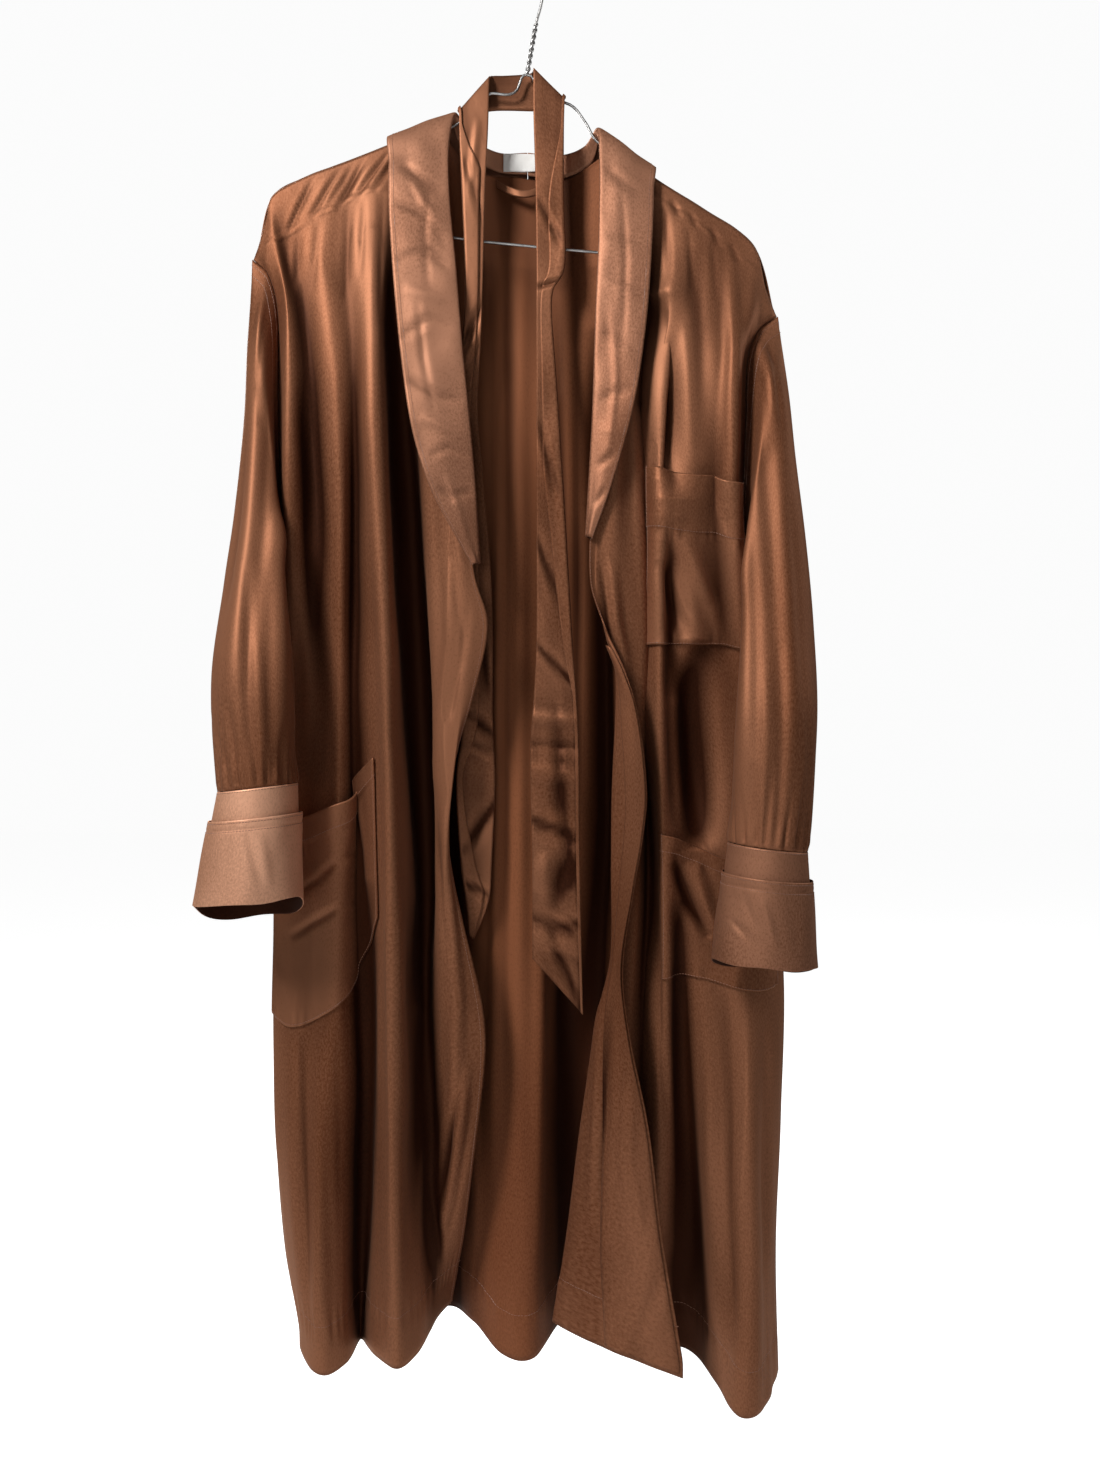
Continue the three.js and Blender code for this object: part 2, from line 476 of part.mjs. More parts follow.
// The belt hangs over the hanger behind its neck: its two edges, from one tail to the other
const BELT = [
  { one: [-50, 4, -932], other: [-54, 4, -928] },
  { one: [-36, 4, -896], other: [-57, 4, -896] },
  { one: [-33, 4, -857], other: [-62, 4, -857] },
  { one: [-30, 4, -783], other: [-66, 4, -783] },
  { one: [-32, 4, -726], other: [-60, 4, -726] },
  { one: [-33, 2, -605], other: [-60, 0, -605] },
  { one: [-41, 0, -500], other: [-66, 0, -500] },
  { one: [-46, -2, -440], other: [-70, -2, -440] },
  { one: [-43, -4, -376], other: [-60, -4, -376] },
  { one: [-41, -5, -320], other: [-57, -5, -320] },
  { one: [-39, -5, -240], other: [-60, -5, -240] },
  { one: [-36, -5, -175], other: [-62, -5, -195] },
  { one: [-35, -2, -131], other: [-62.5, -3.4, -163] },
  { one: [-34, 1.5, -125.5], other: [-62.5, 0.5, -157] },
  { one: [-32, 6, -122], other: [-60, 5.4, -158] },
  { one: [-22, 8, -121], other: [-30, 8, -153] },
  { one: [-4, 8, -120], other: [10, 8, -153] },
  { one: [4, 6, -119.5], other: [29, 6, -150] },
  { one: [6, 1.5, -119], other: [34, 1.5, -147] },
  { one: [6, -3, -123], other: [34.5, -3, -151] },
  { one: [6, -5, -160], other: [34, -5, -185] },
  { one: [8, -5, -230], other: [34, -5, -240] },
  { one: [9, -5, -310], other: [35, -5, -305] },
  { one: [9, -5, -345], other: [23, -5, -335] },
  { one: [9, -4, -420], other: [28, -4, -420] },
  { one: [9, -2, -530], other: [35, -2, -530] },
  { one: [9, 0, -650], other: [42, 0, -650] },
  { one: [6, 0, -710], other: [46, 0, -710] },
  { one: [3, 0, -760], other: [48, 0, -760] },
  { one: [5, 0, -860], other: [49, 0, -860] },
  { one: [5, 0, -949], other: [52, 0, -1001] },
];

function beltPiece() {
  const one = lineThrough(BELT.map((row) => row.one));
  const other = lineThrough(BELT.map((row) => row.other));
  const rows = steps(0, BELT.length - 1, (BELT.length - 1) * 2).map((at) => {
    const first = one(at);
    const last = other(at);
    return [first, first.clone().lerp(last, 0.5), last];
  });
  return piece('belt', wall(rows, { flip: true }));
}

// A small flat strip: its two edges, from one end to the other
function strip(name, edges, thick, look) {
  const rows = edges.map(([first, last]) => [new THREE.Vector3(...first), new THREE.Vector3(...last)]);
  return piece(name, wall(rows, { thick, flip: true }), look);
}

// The hanger is one bent wire: round the shoulders and the bar, twisted up the neck, then the hook.
// Its shoulders stay under the robe's, which hangs on them.
const HANGER = {
  neck: [0, 0, -124], twistTop: [8.4, 0, -77], hookFoot: [13, 0, -60],
  shoulders: [[-12, -141], [-38, -143], [-52, -157], [-66, -171], [-84, -176.5], [-132, -194.5],
    [-178, -212.5], [-218, -229], [-227, -236], [-225, -245], [-214, -250], [-64, -277], [0, -284],
    [66, -290], [196, -299], [205, -295], [205, -285], [196, -274.5], [172, -258], [124, -228.5],
    [86, -200.5], [65, -186], [54, -168], [40, -152], [14, -147]],
  hook: { middle: [-4.7, 0, -25], radius: 24, from: -0.5, to: Math.PI * 1.05 },
  twistTurns: 4,
  twistOff: WIRE * 0.45,    // how far each strand of the twist is from the neck's middle
};

function wireTube(points, { closed = false, count, sides = 6, radius = WIRE / 2 }) {
  const knots = points.map((point) => new THREE.Vector3(...point));
  const path = new THREE.CatmullRomCurve3(knots, closed, 'centripetal');
  const round = new THREE.Shape().absarc(0, 0, radius, 0, Math.PI * 2);
  return new THREE.ExtrudeGeometry(round, { steps: count, curveSegments: sides / 2, extrudePath: path });
}

async function joined(geometries) {
  const wasm = await Module();
  wasm.setup();
  const solids = geometries.map((geometry) => {
    const bare = geometry.clone();
    bare.deleteAttribute('normal');
    bare.deleteAttribute('uv');
    const merged = mergeVertices(bare, 1e-4);
    const triVerts = new Uint32Array(merged.index.array);
    const vertProperties = merged.attributes.position.array;
    return new wasm.Manifold(new wasm.Mesh({ numProp: 3, vertProperties, triVerts }));
  });
  const whole = solids.reduce((sum, solid) => sum.add(solid)).getMesh();
  const geometry = new THREE.BufferGeometry();
  geometry.setAttribute('position', new THREE.Float32BufferAttribute(whole.vertProperties, 3));
  geometry.setIndex([...whole.triVerts]);
  geometry.computeVertexNormals();
  return geometry;
}

async function hangerPiece() {
  const { neck, twistTop, hookFoot, shoulders, hook, twistTurns, twistOff } = HANGER;
  const loop = [neck, ...shoulders.map(([x, z]) => [x, 0, z])];
  const frame = wireTube(loop, { closed: true, count: 76 });
  const twist = [0, Math.PI].map((phase) => wireTube(steps(0, 1, 24).map((t) => {
    const turn = phase + t * twistTurns * Math.PI * 2;
    const x = THREE.MathUtils.lerp(neck[0], twistTop[0], t);
    const z = THREE.MathUtils.lerp(neck[2] - 1, twistTop[2], t);
    return [x + Math.cos(turn) * twistOff, Math.sin(turn) * twistOff, z];
  }), { count: 28 }));
  const crown = steps(0, 1, 9).map((t) => {
    const angle = THREE.MathUtils.lerp(hook.from, hook.to, t);
    const reach = hook.radius + WIRE / 2;
    return [hook.middle[0] + Math.cos(angle) * reach, 0, hook.middle[2] + Math.sin(angle) * reach];
  });
  const rod = wireTube([[7.5, 0, -82], twistTop, hookFoot, ...crown], { count: 40 });
  const geometry = await joined([frame, ...twist, rod]);
  return piece('hanger', geometry, { color: 0xa9a9a6, roughness: 0.3, metalness: 1 });
}

const LABEL = { wide: 46, high: 17, top: -186, thick: 0.8, depth: 26, bow: 2 };
const LOOP = { wide: 7, left: -29, right: 23, top: -211, drop: 13, depth: 26, sag: 8 };

function labelPiece() {
  const rows = steps(-LABEL.wide / 2, LABEL.wide / 2, 4).map((x) => {
    const depth = LABEL.depth - (x / LABEL.wide) ** 2 * LABEL.bow;
    return [[x, depth, LABEL.top], [x, depth, LABEL.top - LABEL.high]];
  });
  return strip('label', rows, LABEL.thick, { color: 0xf1efea, roughness: 0.8, metalness: 0 });
}

function loopPiece() {
  const rows = steps(0, 1, 8).map((t) => {
    const x = THREE.MathUtils.lerp(LOOP.left, LOOP.right, t);
    const z = LOOP.top - LOOP.drop * Math.sin(Math.PI * t);
    const y = LOOP.depth - LOOP.sag * Math.sin(Math.PI * t);
    return [[x, y, z], [x, y, z - LOOP.wide]];
  });
  return strip('hanging_loop', rows, CLOTH);
}

const OPEN_MOUTH = 5;       // how far a hip pocket's mouth stands open
const robe = new THREE.Group();
robe.add(await hangerPiece());
robe.add(panel('front_right', rightFront, RIGHT_FRONT.length, {
  ends: { first: towardsRight, top: shoulderUp },
}));
robe.add(panel('front_left', leftFront, LEFT_FRONT.length, {
  flip: true, ends: { first: towardsLeft, top: shoulderUp },
}));
robe.add(panel('back', back, BACK.length + 1, {
  flip: true, ends: { first: towardsRight, last: towardsLeft, top: shoulderUp },
}));
robe.add(sleevePiece('sleeve_right', RIGHT_SLEEVE, RIGHT_CUFF));
robe.add(sleevePiece('sleeve_left', LEFT_SLEEVE, LEFT_CUFF));
robe.add(...cuffPieces('right', RIGHT_CUFF));
robe.add(...cuffPieces('left', LEFT_CUFF));
robe.add(collarPiece('collar_right', RIGHT_COLLAR, true));
robe.add(collarPiece('collar_left', LEFT_COLLAR, false));
robe.add(patch('pocket_hip_right', rightFront, {
  from: 1, to: 6, rows: 6, gape: OPEN_MOUTH,
  mouth: [0.525, 0.535, 0.539, 0.516, 0.511], bottom: [0.7, 0.715, 0.71, 0.69, 0.64],
}));
robe.add(patch('pocket_hip_left', leftFront, {
  from: 1, to: 6, rows: 6, gape: OPEN_MOUTH, flip: true,
  mouth: [0.518, 0.528, 0.545, 0.549, 0.552], bottom: [0.632, 0.677],
}));
robe.add(patch('pocket_chest', leftFront, {
  from: 1.5, to: 6.5, rows: 6, gape: 2, flip: true, out: LAP + 0.8,
  mouth: [0.176, 0.2, 0.2225, 0.235, 0.244], bottom: [0.323, 0.346, 0.368, 0.384, 0.396],
}));
robe.add(patch('facing_left', leftFront, {
  from: 11, to: 11.9, rows: 10, flip: true, out: -LAP - 1, mouth: [0.42, 0.42], bottom: [0.96, 0.96],
}));
robe.add(beltPiece());
robe.add(labelPiece());
robe.add(loopPiece());

export default robe;
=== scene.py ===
# A long open satin robe on a wire hanger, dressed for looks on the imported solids.
# Tables are in millimetres, and every mesh is made in metres in the same frame.
import math

import bpy
import numpy as np
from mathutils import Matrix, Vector


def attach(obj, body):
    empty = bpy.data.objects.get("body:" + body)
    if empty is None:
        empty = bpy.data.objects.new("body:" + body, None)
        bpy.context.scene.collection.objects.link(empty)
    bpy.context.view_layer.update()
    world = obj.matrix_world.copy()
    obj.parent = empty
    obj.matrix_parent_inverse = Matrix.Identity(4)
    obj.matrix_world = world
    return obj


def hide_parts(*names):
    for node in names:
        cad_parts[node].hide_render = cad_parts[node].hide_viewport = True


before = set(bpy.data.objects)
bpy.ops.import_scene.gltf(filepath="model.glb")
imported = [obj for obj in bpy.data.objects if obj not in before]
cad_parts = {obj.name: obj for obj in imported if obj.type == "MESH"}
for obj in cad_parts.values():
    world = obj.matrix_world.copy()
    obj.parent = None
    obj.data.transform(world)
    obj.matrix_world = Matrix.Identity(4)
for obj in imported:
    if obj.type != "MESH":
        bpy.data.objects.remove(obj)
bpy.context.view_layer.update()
MM = 0.001


# Satin: a smooth filament weave that shines along its warp, dyed copper brown.
# The cloth has painted shade in its colour where it lies in a hollow, and its many small rumples break up the
# light.
def node_group(name, inputs, outputs):
    group = bpy.data.node_groups.new(name, "ShaderNodeTree")
    for label, value in inputs:
        socket = group.interface.new_socket(name=label, in_out="INPUT", socket_type="NodeSocketFloat")
        socket.default_value = value
    for label, kind in outputs:
        group.interface.new_socket(name=label, in_out="OUTPUT", socket_type=kind)
    return group, group.nodes.new("NodeGroupInput"), group.nodes.new("NodeGroupOutput")


def add_node(tree, kind, **settings):
    node = tree.nodes.new(kind)
    for name, value in settings.items():
        if name in node.bl_rna.properties:
            setattr(node, name, value)
        else:
            node.inputs[name.replace("_", " ")].default_value = value
    return node


def set_inputs(node, values):
    for name, value in values.items():
        node.inputs[name].default_value = value


def new_material(name):
    material = bpy.data.materials.new(name)
    material.use_nodes = True
    return material, material.node_tree, material.node_tree.nodes["Principled BSDF"]


def two_tone(tree, source, first, last, low=0.0, high=1.0):
    """A colour that runs from first to last while the source rises from low to high."""
    ramp = add_node(tree, "ShaderNodeValToRGB")
    for end, place, colour in ((0, low, first), (1, high, last)):
        ramp.color_ramp.elements[end].position = place
        ramp.color_ramp.elements[end].color = (*colour, 1.0)
    tree.links.new(source, ramp.inputs["Fac"])
    return ramp.outputs["Color"]


def weave_group():
    group, given, out = node_group(
        "satin weave",
        [("Threads per metre", 2600.0), ("Slub", 0.5)],
        [("Height", "NodeSocketFloat"), ("Tone", "NodeSocketFloat")],
    )
    place = add_node(group, "ShaderNodeUVMap", uv_map="cloth")
    warp = add_node(group, "ShaderNodeMapping")
    warp.inputs["Scale"].default_value = (1.0, 0.12, 1.0)
    group.links.new(place.outputs["UV"], warp.inputs["Vector"])
    fine = add_node(group, "ShaderNodeTexNoise", Detail=2.0, Roughness=0.5)
    group.links.new(warp.outputs["Vector"], fine.inputs["Vector"])
    group.links.new(given.outputs["Threads per metre"], fine.inputs["Scale"])
    slub = add_node(group, "ShaderNodeTexNoise", Scale=620.0, Detail=3.0, Roughness=0.65)
    short = add_node(group, "ShaderNodeMapping")
    short.inputs["Scale"].default_value = (1.0, 0.55, 1.0)
    group.links.new(place.outputs["UV"], short.inputs["Vector"])
    group.links.new(short.outputs["Vector"], slub.inputs["Vector"])
    weighted = add_node(group, "ShaderNodeMath", operation="MULTIPLY")
    group.links.new(slub.outputs["Fac"], weighted.inputs[0])
    group.links.new(given.outputs["Slub"], weighted.inputs[1])
    total = add_node(group, "ShaderNodeMath", operation="ADD")
    group.links.new(fine.outputs["Fac"], total.inputs[0])
    group.links.new(weighted.outputs[0], total.inputs[1])
    group.links.new(total.outputs[0], out.inputs["Height"])
    group.links.new(slub.outputs["Fac"], out.inputs["Tone"])
    return group


def rumple_group():
    group, given, out = node_group(
        "soft rumples",
        [("Size per metre", 30.0), ("Upright", 0.35), ("Twist", 1.2)],
        [("Height", "NodeSocketFloat"), ("Wide", "NodeSocketFloat")],
    )
    place = add_node(group, "ShaderNodeTexCoord")
    tall = add_node(group, "ShaderNodeCombineXYZ", X=1.0, Y=1.0)
    group.links.new(given.outputs["Upright"], tall.inputs["Z"])
    stretched = add_node(group, "ShaderNodeVectorMath", operation="MULTIPLY")
    group.links.new(place.outputs["Object"], stretched.inputs[0])
    group.links.new(tall.outputs[0], stretched.inputs[1])
    small = add_node(group, "ShaderNodeTexNoise", Detail=3.5, Roughness=0.45)
    group.links.new(stretched.outputs[0], small.inputs["Vector"])
    group.links.new(given.outputs["Size per metre"], small.inputs["Scale"])
    group.links.new(given.outputs["Twist"], small.inputs["Distortion"])
    wide = add_node(group, "ShaderNodeTexNoise", Scale=7.0, Detail=2.0)
    group.links.new(stretched.outputs[0], wide.inputs["Vector"])
    group.links.new(small.outputs["Fac"], out.inputs["Height"])
    group.links.new(wide.outputs["Fac"], out.inputs["Wide"])
    return group


SATIN_WEAVE = weave_group()
SOFT_RUMPLES = rumple_group()


def satin(name, light, deep, rumple=0.6, size=28.0, upright=0.3, rough=0.49, metallic=0.5):
    """rumple is the height of the small rumples in millimetres, and size how many there are to a metre."""
    material, tree, skin = new_material(name)
    set_inputs(skin, {
        "Metallic": metallic, "Specular IOR Level": 0.2, "Specular Tint": (1.0, 0.66, 0.46, 1.0),
        "Sheen Weight": 0.04, "Sheen Roughness": 0.4, "Sheen Tint": (1.0, 0.72, 0.55, 1.0),
        "Anisotropic": 0.35,
    })
    weave = add_node(tree, "ShaderNodeGroup", node_tree=SATIN_WEAVE)
    rumples = add_node(tree, "ShaderNodeGroup", node_tree=SOFT_RUMPLES)
    set_inputs(rumples, {"Size per metre": size, "Upright": upright})
    tone = add_node(tree, "ShaderNodeMath", operation="MULTIPLY_ADD")
    tone.inputs[1].default_value = 0.8
    tree.links.new(weave.outputs["Tone"], tone.inputs[0])
    tree.links.new(rumples.outputs["Wide"], tone.inputs[2])
    dyed = two_tone(tree, tone.outputs[0], deep, light, low=0.65)
    # Painted shade: the colour is darkened towards a deep brown where the "hollow" attribute says the cloth
    # lies deep in a fold.
    fold = add_node(tree, "ShaderNodeAttribute", attribute_name="hollow")
    painted_fold_shade = two_tone(tree, fold.outputs["Fac"], (1, 1, 1), (0.14, 0.09, 0.07), low=0.3, high=0.9)
    shaded = add_node(tree, "ShaderNodeMix", data_type="RGBA", blend_type="MULTIPLY")
    shaded.inputs[0].default_value = 1.0
    tree.links.new(dyed, shaded.inputs[6])
    tree.links.new(painted_fold_shade, shaded.inputs[7])
    tree.links.new(shaded.outputs[2], skin.inputs["Base Color"])
    gloss = add_node(tree, "ShaderNodeMapRange")
    set_inputs(gloss, {"To Min": rough - 0.06, "To Max": rough + 0.1})
    tree.links.new(weave.outputs["Tone"], gloss.inputs["Value"])
    tree.links.new(gloss.outputs["Result"], skin.inputs["Roughness"])
    broad = add_node(tree, "ShaderNodeBump", Strength=1.0, Distance=rumple * MM)
    fine = add_node(tree, "ShaderNodeBump", Strength=0.25, Distance=0.1 * MM)
    tree.links.new(rumples.outputs["Height"], broad.inputs["Height"])
    tree.links.new(weave.outputs["Height"], fine.inputs["Height"])
    tree.links.new(broad.outputs["Normal"], fine.inputs["Normal"])
    tree.links.new(fine.outputs["Normal"], skin.inputs["Normal"])
    return material


BROWN_LIGHT = (0.27, 0.112, 0.058)
BROWN_DEEP = (0.135, 0.045, 0.019)
BODY_SATIN = satin("copper satin", BROWN_LIGHT, BROWN_DEEP)
WRONG_SIDE = satin(
    "copper satin, wrong side", (0.23, 0.08, 0.035), (0.13, 0.04, 0.016), rumple=0.4, rough=0.62, metallic=0.1)


# Body panels: a back and two fronts of the satin, each cut in one length from shoulder to hem, seamed at
# the shoulders and sides and hemmed. They hang from the wire in soft upright folds. The wearer's right
# is at -X.
CLOTH = 1.0  # thickness
SEAM = 0.5  # gap at the shoulder seam
SIDE_SEAM = -0.4  # the sides lap a little, so that no light shows through
LAP = 2.1  # from a panel's middle to that of what is laid on it
ROOF = 3.2  # rise of the cloth over the wire
HEM_DEPTH = 42
PANEL_LENGTH = 1120
LEVELS = [-400, -520, -700, -900, -1100, -1290]
RIGHT_SIDE = {
  "z": [-297, -312, -350, -430, -500, -540, -620, -760, -940, -1100, -1220, -1300],
  "x": [-255, -240, -231, -230, -230, -230, -232, -234, -236, -236, -227, -211],
  "y": [0, 4, 7, 8, 8, 8, 9, 10, 10, 8, 6, 4],
  "gap": [0, 14, 24, 27, 16, 0, 0, 0, 0, 0, 0, 0],
}
LEFT_SIDE = {
  "z": [-350, -362, -390, -450, -520, -560, -640, -760, -960, -1100, -1220, -1335],
  "x": [233, 216, 205, 203, 201, 200, 206, 222, 241, 238, 233, 235],
  "y": [0, 3, 6, 7, 8, 8, 9, 10, 10, 8, 6, 4],
  "gap": [0, 12, 22, 26, 16, 0, 0, 0, 0, 0, 0, 0],
}

# Folds of the right front, from the side to the front edge
RIGHT_FRONT = [
  { "name": "side turn", "top": [-250, -SEAM / 2, -284], "hem": -1303,
    "levels": [-315, -345, *LEVELS],
    "x": [-235, -227, -225, -226, -229, -233, -232, -208], "y": [-8, -12, -15, -14, -3, -3, -8, -18] },
  { "name": "side ridge", "top": [-243, -SEAM / 2, -258], "hem": -1309,
    "levels": [-300, -345, *LEVELS],
    "x": [-230, -220, -217, -217, -216, -222, -216, -193], "y": [-12, -22, -28, -28, -7, -8, -24, -44] },
  { "name": "side hollow", "top": [-236, -SEAM / 2, -236], "hem": -1312,
    "x": [-199, -199, -198, -200, -196, -177], "y": [-20, -14, -9, -13, -30, -50] },
  { "name": "middle ridge", "top": [-205, -SEAM / 2, -219], "hem": -1309,
    "x": [-176, -170, -172, -172, -170, -163], "y": [-28, -28, -22, -26, -30, -34] },
  { "name": "middle hollow", "top": [-178, -SEAM / 2, -209], "hem": -1304,
    "x": [-159, -157, -158, -156, -152, -155], "y": [-24, -17, -14, -12, -6, 0] },
  { "name": "long ridge side", "top": [-152, -SEAM / 2, -199], "hem": -1302,
    "x": [-143, -141, -137, -133, -132, -137], "y": [-32, -38, -36, -34, -34, -34] },
  { "name": "long ridge", "top": [-132, -SEAM / 2, -191], "hem": -1301,
    "x": [-132, -126, -122, -119, -119, -114], "y": [-30, -38, -46, -50, -54, -60] },
  { "name": "deep hollow", "top": [-114, -SEAM / 2, -184], "hem": -1299,
    "x": [-116, -108, -102, -96, -101, -99], "y": [-8, 2, 5, 6, -14, -38] },
  { "name": "edge slope", "top": [-104, -SEAM / 2, -180], "hem": -1294,
    "x": [-100, -88, -84, -88, -84, -90], "y": [-12, -18, -20, -14, -10, -6] },
  { "name": "edge ridge", "top": [-95, -SEAM / 2, -176], "hem": -1288,
    "x": [-82, -68, -62, -76, -60, -84], "y": [-25, -30, -32, -28, -22, 12] },
  { "name": "free edge", "top": [-86, -SEAM / 2, -172], "hem": -1281,
    "levels": [-210, -254, -345, -436, -508, -581, -600, -640, -700, -750, -812, -863, -913, -990, -1035, -1131,
      -1213, -1279],
    "x": [-77, -76, -66, -58, -51, -49, -46, -35, -47, -62, -74, -69, -58, -40, -38, -49, -60, -72],
    "y": [-8, -13, -20, -25, -28, -30, -30, -29, -28, -26, -22, -20, -20, -22, -20, -12, 6, 28] },
]

# Folds of the left front, from the side to the free edge that is flipped outward below the waist
LEFT_FRONT = [
  { "name": "side turn", "top": [230, -SEAM / 2, -344], "hem": -1337,
    "levels": [-372, *LEVELS],
    "x": [207, 199, 196, 214, 231, 231, 226], "y": [-9, -13, -14, -3, -3, -8, -20] },
  { "name": "side ridge", "top": [222, -SEAM / 2, -322], "hem": -1342,
    "levels": [-360, *LEVELS],
    "x": [205, 192, 189, 202, 216, 214, 208], "y": [-16, -27, -30, -8, -10, -30, -56] },
  { "name": "second ridge", "top": [214, -SEAM / 2, -288], "hem": -1342,
    "x": [176, 172, 182, 194, 190, 186], "y": [-26, -22, -10, -16, -36, -60] },
  { "name": "side hollow", "top": [196, -SEAM / 2, -269], "hem": -1325,
    "x": [158, 152, 158, 166, 164, 167], "y": [-26, -26, -18, -16, -20, -16] },
  { "name": "middle slope", "top": [172, -SEAM / 2, -254], "hem": -1314,
    "x": [138, 134, 136, 142, 142, 148], "y": [-28, -30, -26, -18, -8, 2] },
  { "name": "middle ridge", "top": [148, -SEAM / 2, -239], "hem": -1310,
    "x": [122, 120, 120, 124, 122, 122], "y": [-32, -30, -30, -26, -16, -2] },
  { "name": "deep hollow", "top": [124, -SEAM / 2, -224], "hem": -1306,
    "x": [108, 108, 110, 112, 104, 94], "y": [-8, -2, -4, -6, -4, 0] },
  { "name": "front slope", "top": [108, -SEAM / 2, -212], "hem": -1300,
    "x": [98, 96, 102, 102, 84, 62], "y": [-14, -16, -18, -18, -6, 4] },
  { "name": "front ridge", "top": [97, -SEAM / 2, -204], "hem": -1294,
    "x": [86, 83, 92, 91, 66, 40], "y": [-22, -29, -26, -22, -6, 6] },
  { "name": "fold line", "top": [91, -SEAM / 2, -199], "hem": -1290,
    "levels": [-300, -400, -520, -600, -640, -680, -720, -800, -860, -940, -1000, -1100, -1200, -1290],
    "x": [79, 76, 70, 66, 72, 81, 81, 78, 77, 77, 64, 50, 38, 25],
    "y": [-14, -21, -28, -30, -32, -33, -33, -31, -30, -28, -24, -14, -6, 3] },
  { "name": "flap", "top": [88, -SEAM / 2, -197], "hem": -1295,
    "levels": [-300, -400, -520, -600, -640, -680, -720, -800, -860, -940, -1000, -1100, -1200, -1290],
    "x": [74, 71, 65, 62, 70, 83, 87, 91, 87, 80, 72, 70, 68, 72],
    "y": [-14.5, -21.5, -28, -30, -35, -40, -42, -42, -40, -37, -36, -35, -34, -36] },
  { "name": "free edge", "top": [85, -SEAM / 2, -195], "hem": -1304,
    "levels": [-300, -400, -520, -600, -640, -680, -720, -790, -830, -880, -950, -1010, -1090, -1180, -1290],
    "x": [69, 66, 60, 58, 70, 88, 100, 108, 105, 97, 87, 93, 109, 120, 138],
    "y": [-15, -22, -28, -31, -37, -45, -48, -50, -48, -46, -44, -48, -56, -62, -70] },
]

# Folds of the back, from the wearer's right side to the left side
BACK = [
  { "name": "right turn", "top": [-250, SEAM / 2, -284], "hem": -1303,
    "levels": [-315, -345, *LEVELS],
    "x": [-236, -227, -225, -226, -230, -233, -232, -208], "y": [10, 17, 22, 24, 24, 24, 24, 22] },
  { "name": "right ridge", "top": [-237, SEAM / 2, -237], "hem": -1306,
    "x": [-208, -205, -208, -210, -205, -188], "y": [27, 36, 40, 42, 44, 46] },
  { "name": "right fold", "top": [-200, SEAM / 2, -217], "hem": -1306,
    "x": [-172, -165, -162, -160, -155, -150], "y": [28, 42, 48, 52, 56, 60] },
  { "name": "right hollow", "top": [-150, SEAM / 2, -198], "hem": -1304,
    "x": [-132, -124, -120, -118, -112, -110], "y": [28, 32, 34, 34, 34, 34] },
  { "name": "right inner fold", "top": [-110, 1.2, -182], "hem": -1304,
    "x": [-100, -88, -85, -82, -80, -78], "y": [28, 42, 48, 54, 60, 66] },
  { "name": "right neck point", "top": [-84, 2, -172], "hem": -1306,
    "x": [-66, -54, -50, -48, -46, -50], "y": [28, 32, 32, 32, 30, 38] },
  { "name": "centre fold, right", "top": [-54, 22, -203], "hem": -1325,
    "x": [-34, -24, -22, -20, -20, -24], "y": [29, 28, 24, 22, 18, 14] },
  { "name": "centre fold, left", "top": [-10, 30, -207], "hem": -1327,
    "x": [0, 6, 10, 10, 8, 6], "y": [30, 32, 28, 24, 16, 12] },
  { "name": "left hollow", "top": [36, 28, -210], "hem": -1313,
    "x": [38, 40, 40, 38, 38, 36], "y": [30, 46, 54, 58, 60, 62] },
  { "name": "left neck point", "top": [84, 2, -195], "hem": -1315,
    "x": [74, 74, 74, 74, 74, 74], "y": [28, 40, 46, 50, 54, 58] },
  { "name": "left inner fold", "top": [120, 1.2, -221], "hem": -1320,
    "x": [106, 106, 110, 114, 114, 114], "y": [28, 34, 36, 38, 40, 40] },
  { "name": "left fold", "top": [165, SEAM / 2, -249], "hem": -1326,
    "x": [142, 142, 152, 158, 158, 158], "y": [28, 42, 50, 54, 58, 62] },
  { "name": "left ridge", "top": [212, SEAM / 2, -284], "hem": -1330,
    "x": [176, 172, 190, 204, 204, 202], "y": [27, 34, 40, 42, 44, 46] },
  { "name": "left turn", "top": [230, SEAM / 2, -344], "hem": -1334,
    "levels": [-372, *LEVELS],
    "x": [206, 199, 197, 214, 231, 231, 228], "y": [13, 19, 22, 23, 24, 24, 24] },
]


def smooth(places, values, at):
    """A smooth line through a row of values. `at` may be one row, or one place for each column."""
    places = np.asarray(places, float)
    values = np.asarray(values, float)
    at = np.asarray(at, float)
    last = len(places) - 1
    before = np.maximum(np.arange(last + 1) - 1, 0)
    after = np.minimum(np.arange(last + 1) + 1, last)
    wide = (places[after] - places[before]).reshape((-1,) + (1,) * (values.ndim - 1))
    slopes = (values[after] - values[before]) / wide
    i = np.clip(np.searchsorted(places, at, side="left") - 1, 0, last - 1)
    span = places[i + 1] - places[i]
    t = np.clip((at - places[i]) / span, 0, 1)
    if values.ndim == 3:
        column = np.arange(len(at))
        low, high = values[i, column], values[i + 1, column]
        leaving, arriving = slopes[i, column], slopes[i + 1, column]
    else:
        low, high, leaving, arriving = values[i], values[i + 1], slopes[i], slopes[i + 1]
    shape = t.shape + (1,) * (low.ndim - t.ndim)
    t = t.reshape(shape)
    span = span.reshape(shape)
    rise = t * t * (3 - 2 * t)
    bend = t * (1 - t) ** 2 * span * leaving + t * t * (t - 1) * span * arriving
    return low + (high - low) * rise + bend


def side_edge(side, towards, z):
    fallen = [-height for height in side["z"]]
    gap = np.maximum(smooth(fallen, side["gap"], -z), 0)
    x = smooth(fallen, side["x"], -z)
    y = smooth(fallen, side["y"], -z) + towards * (gap / 2 + SIDE_SEAM / 2)
    return np.stack([x, y, z], axis=-1)


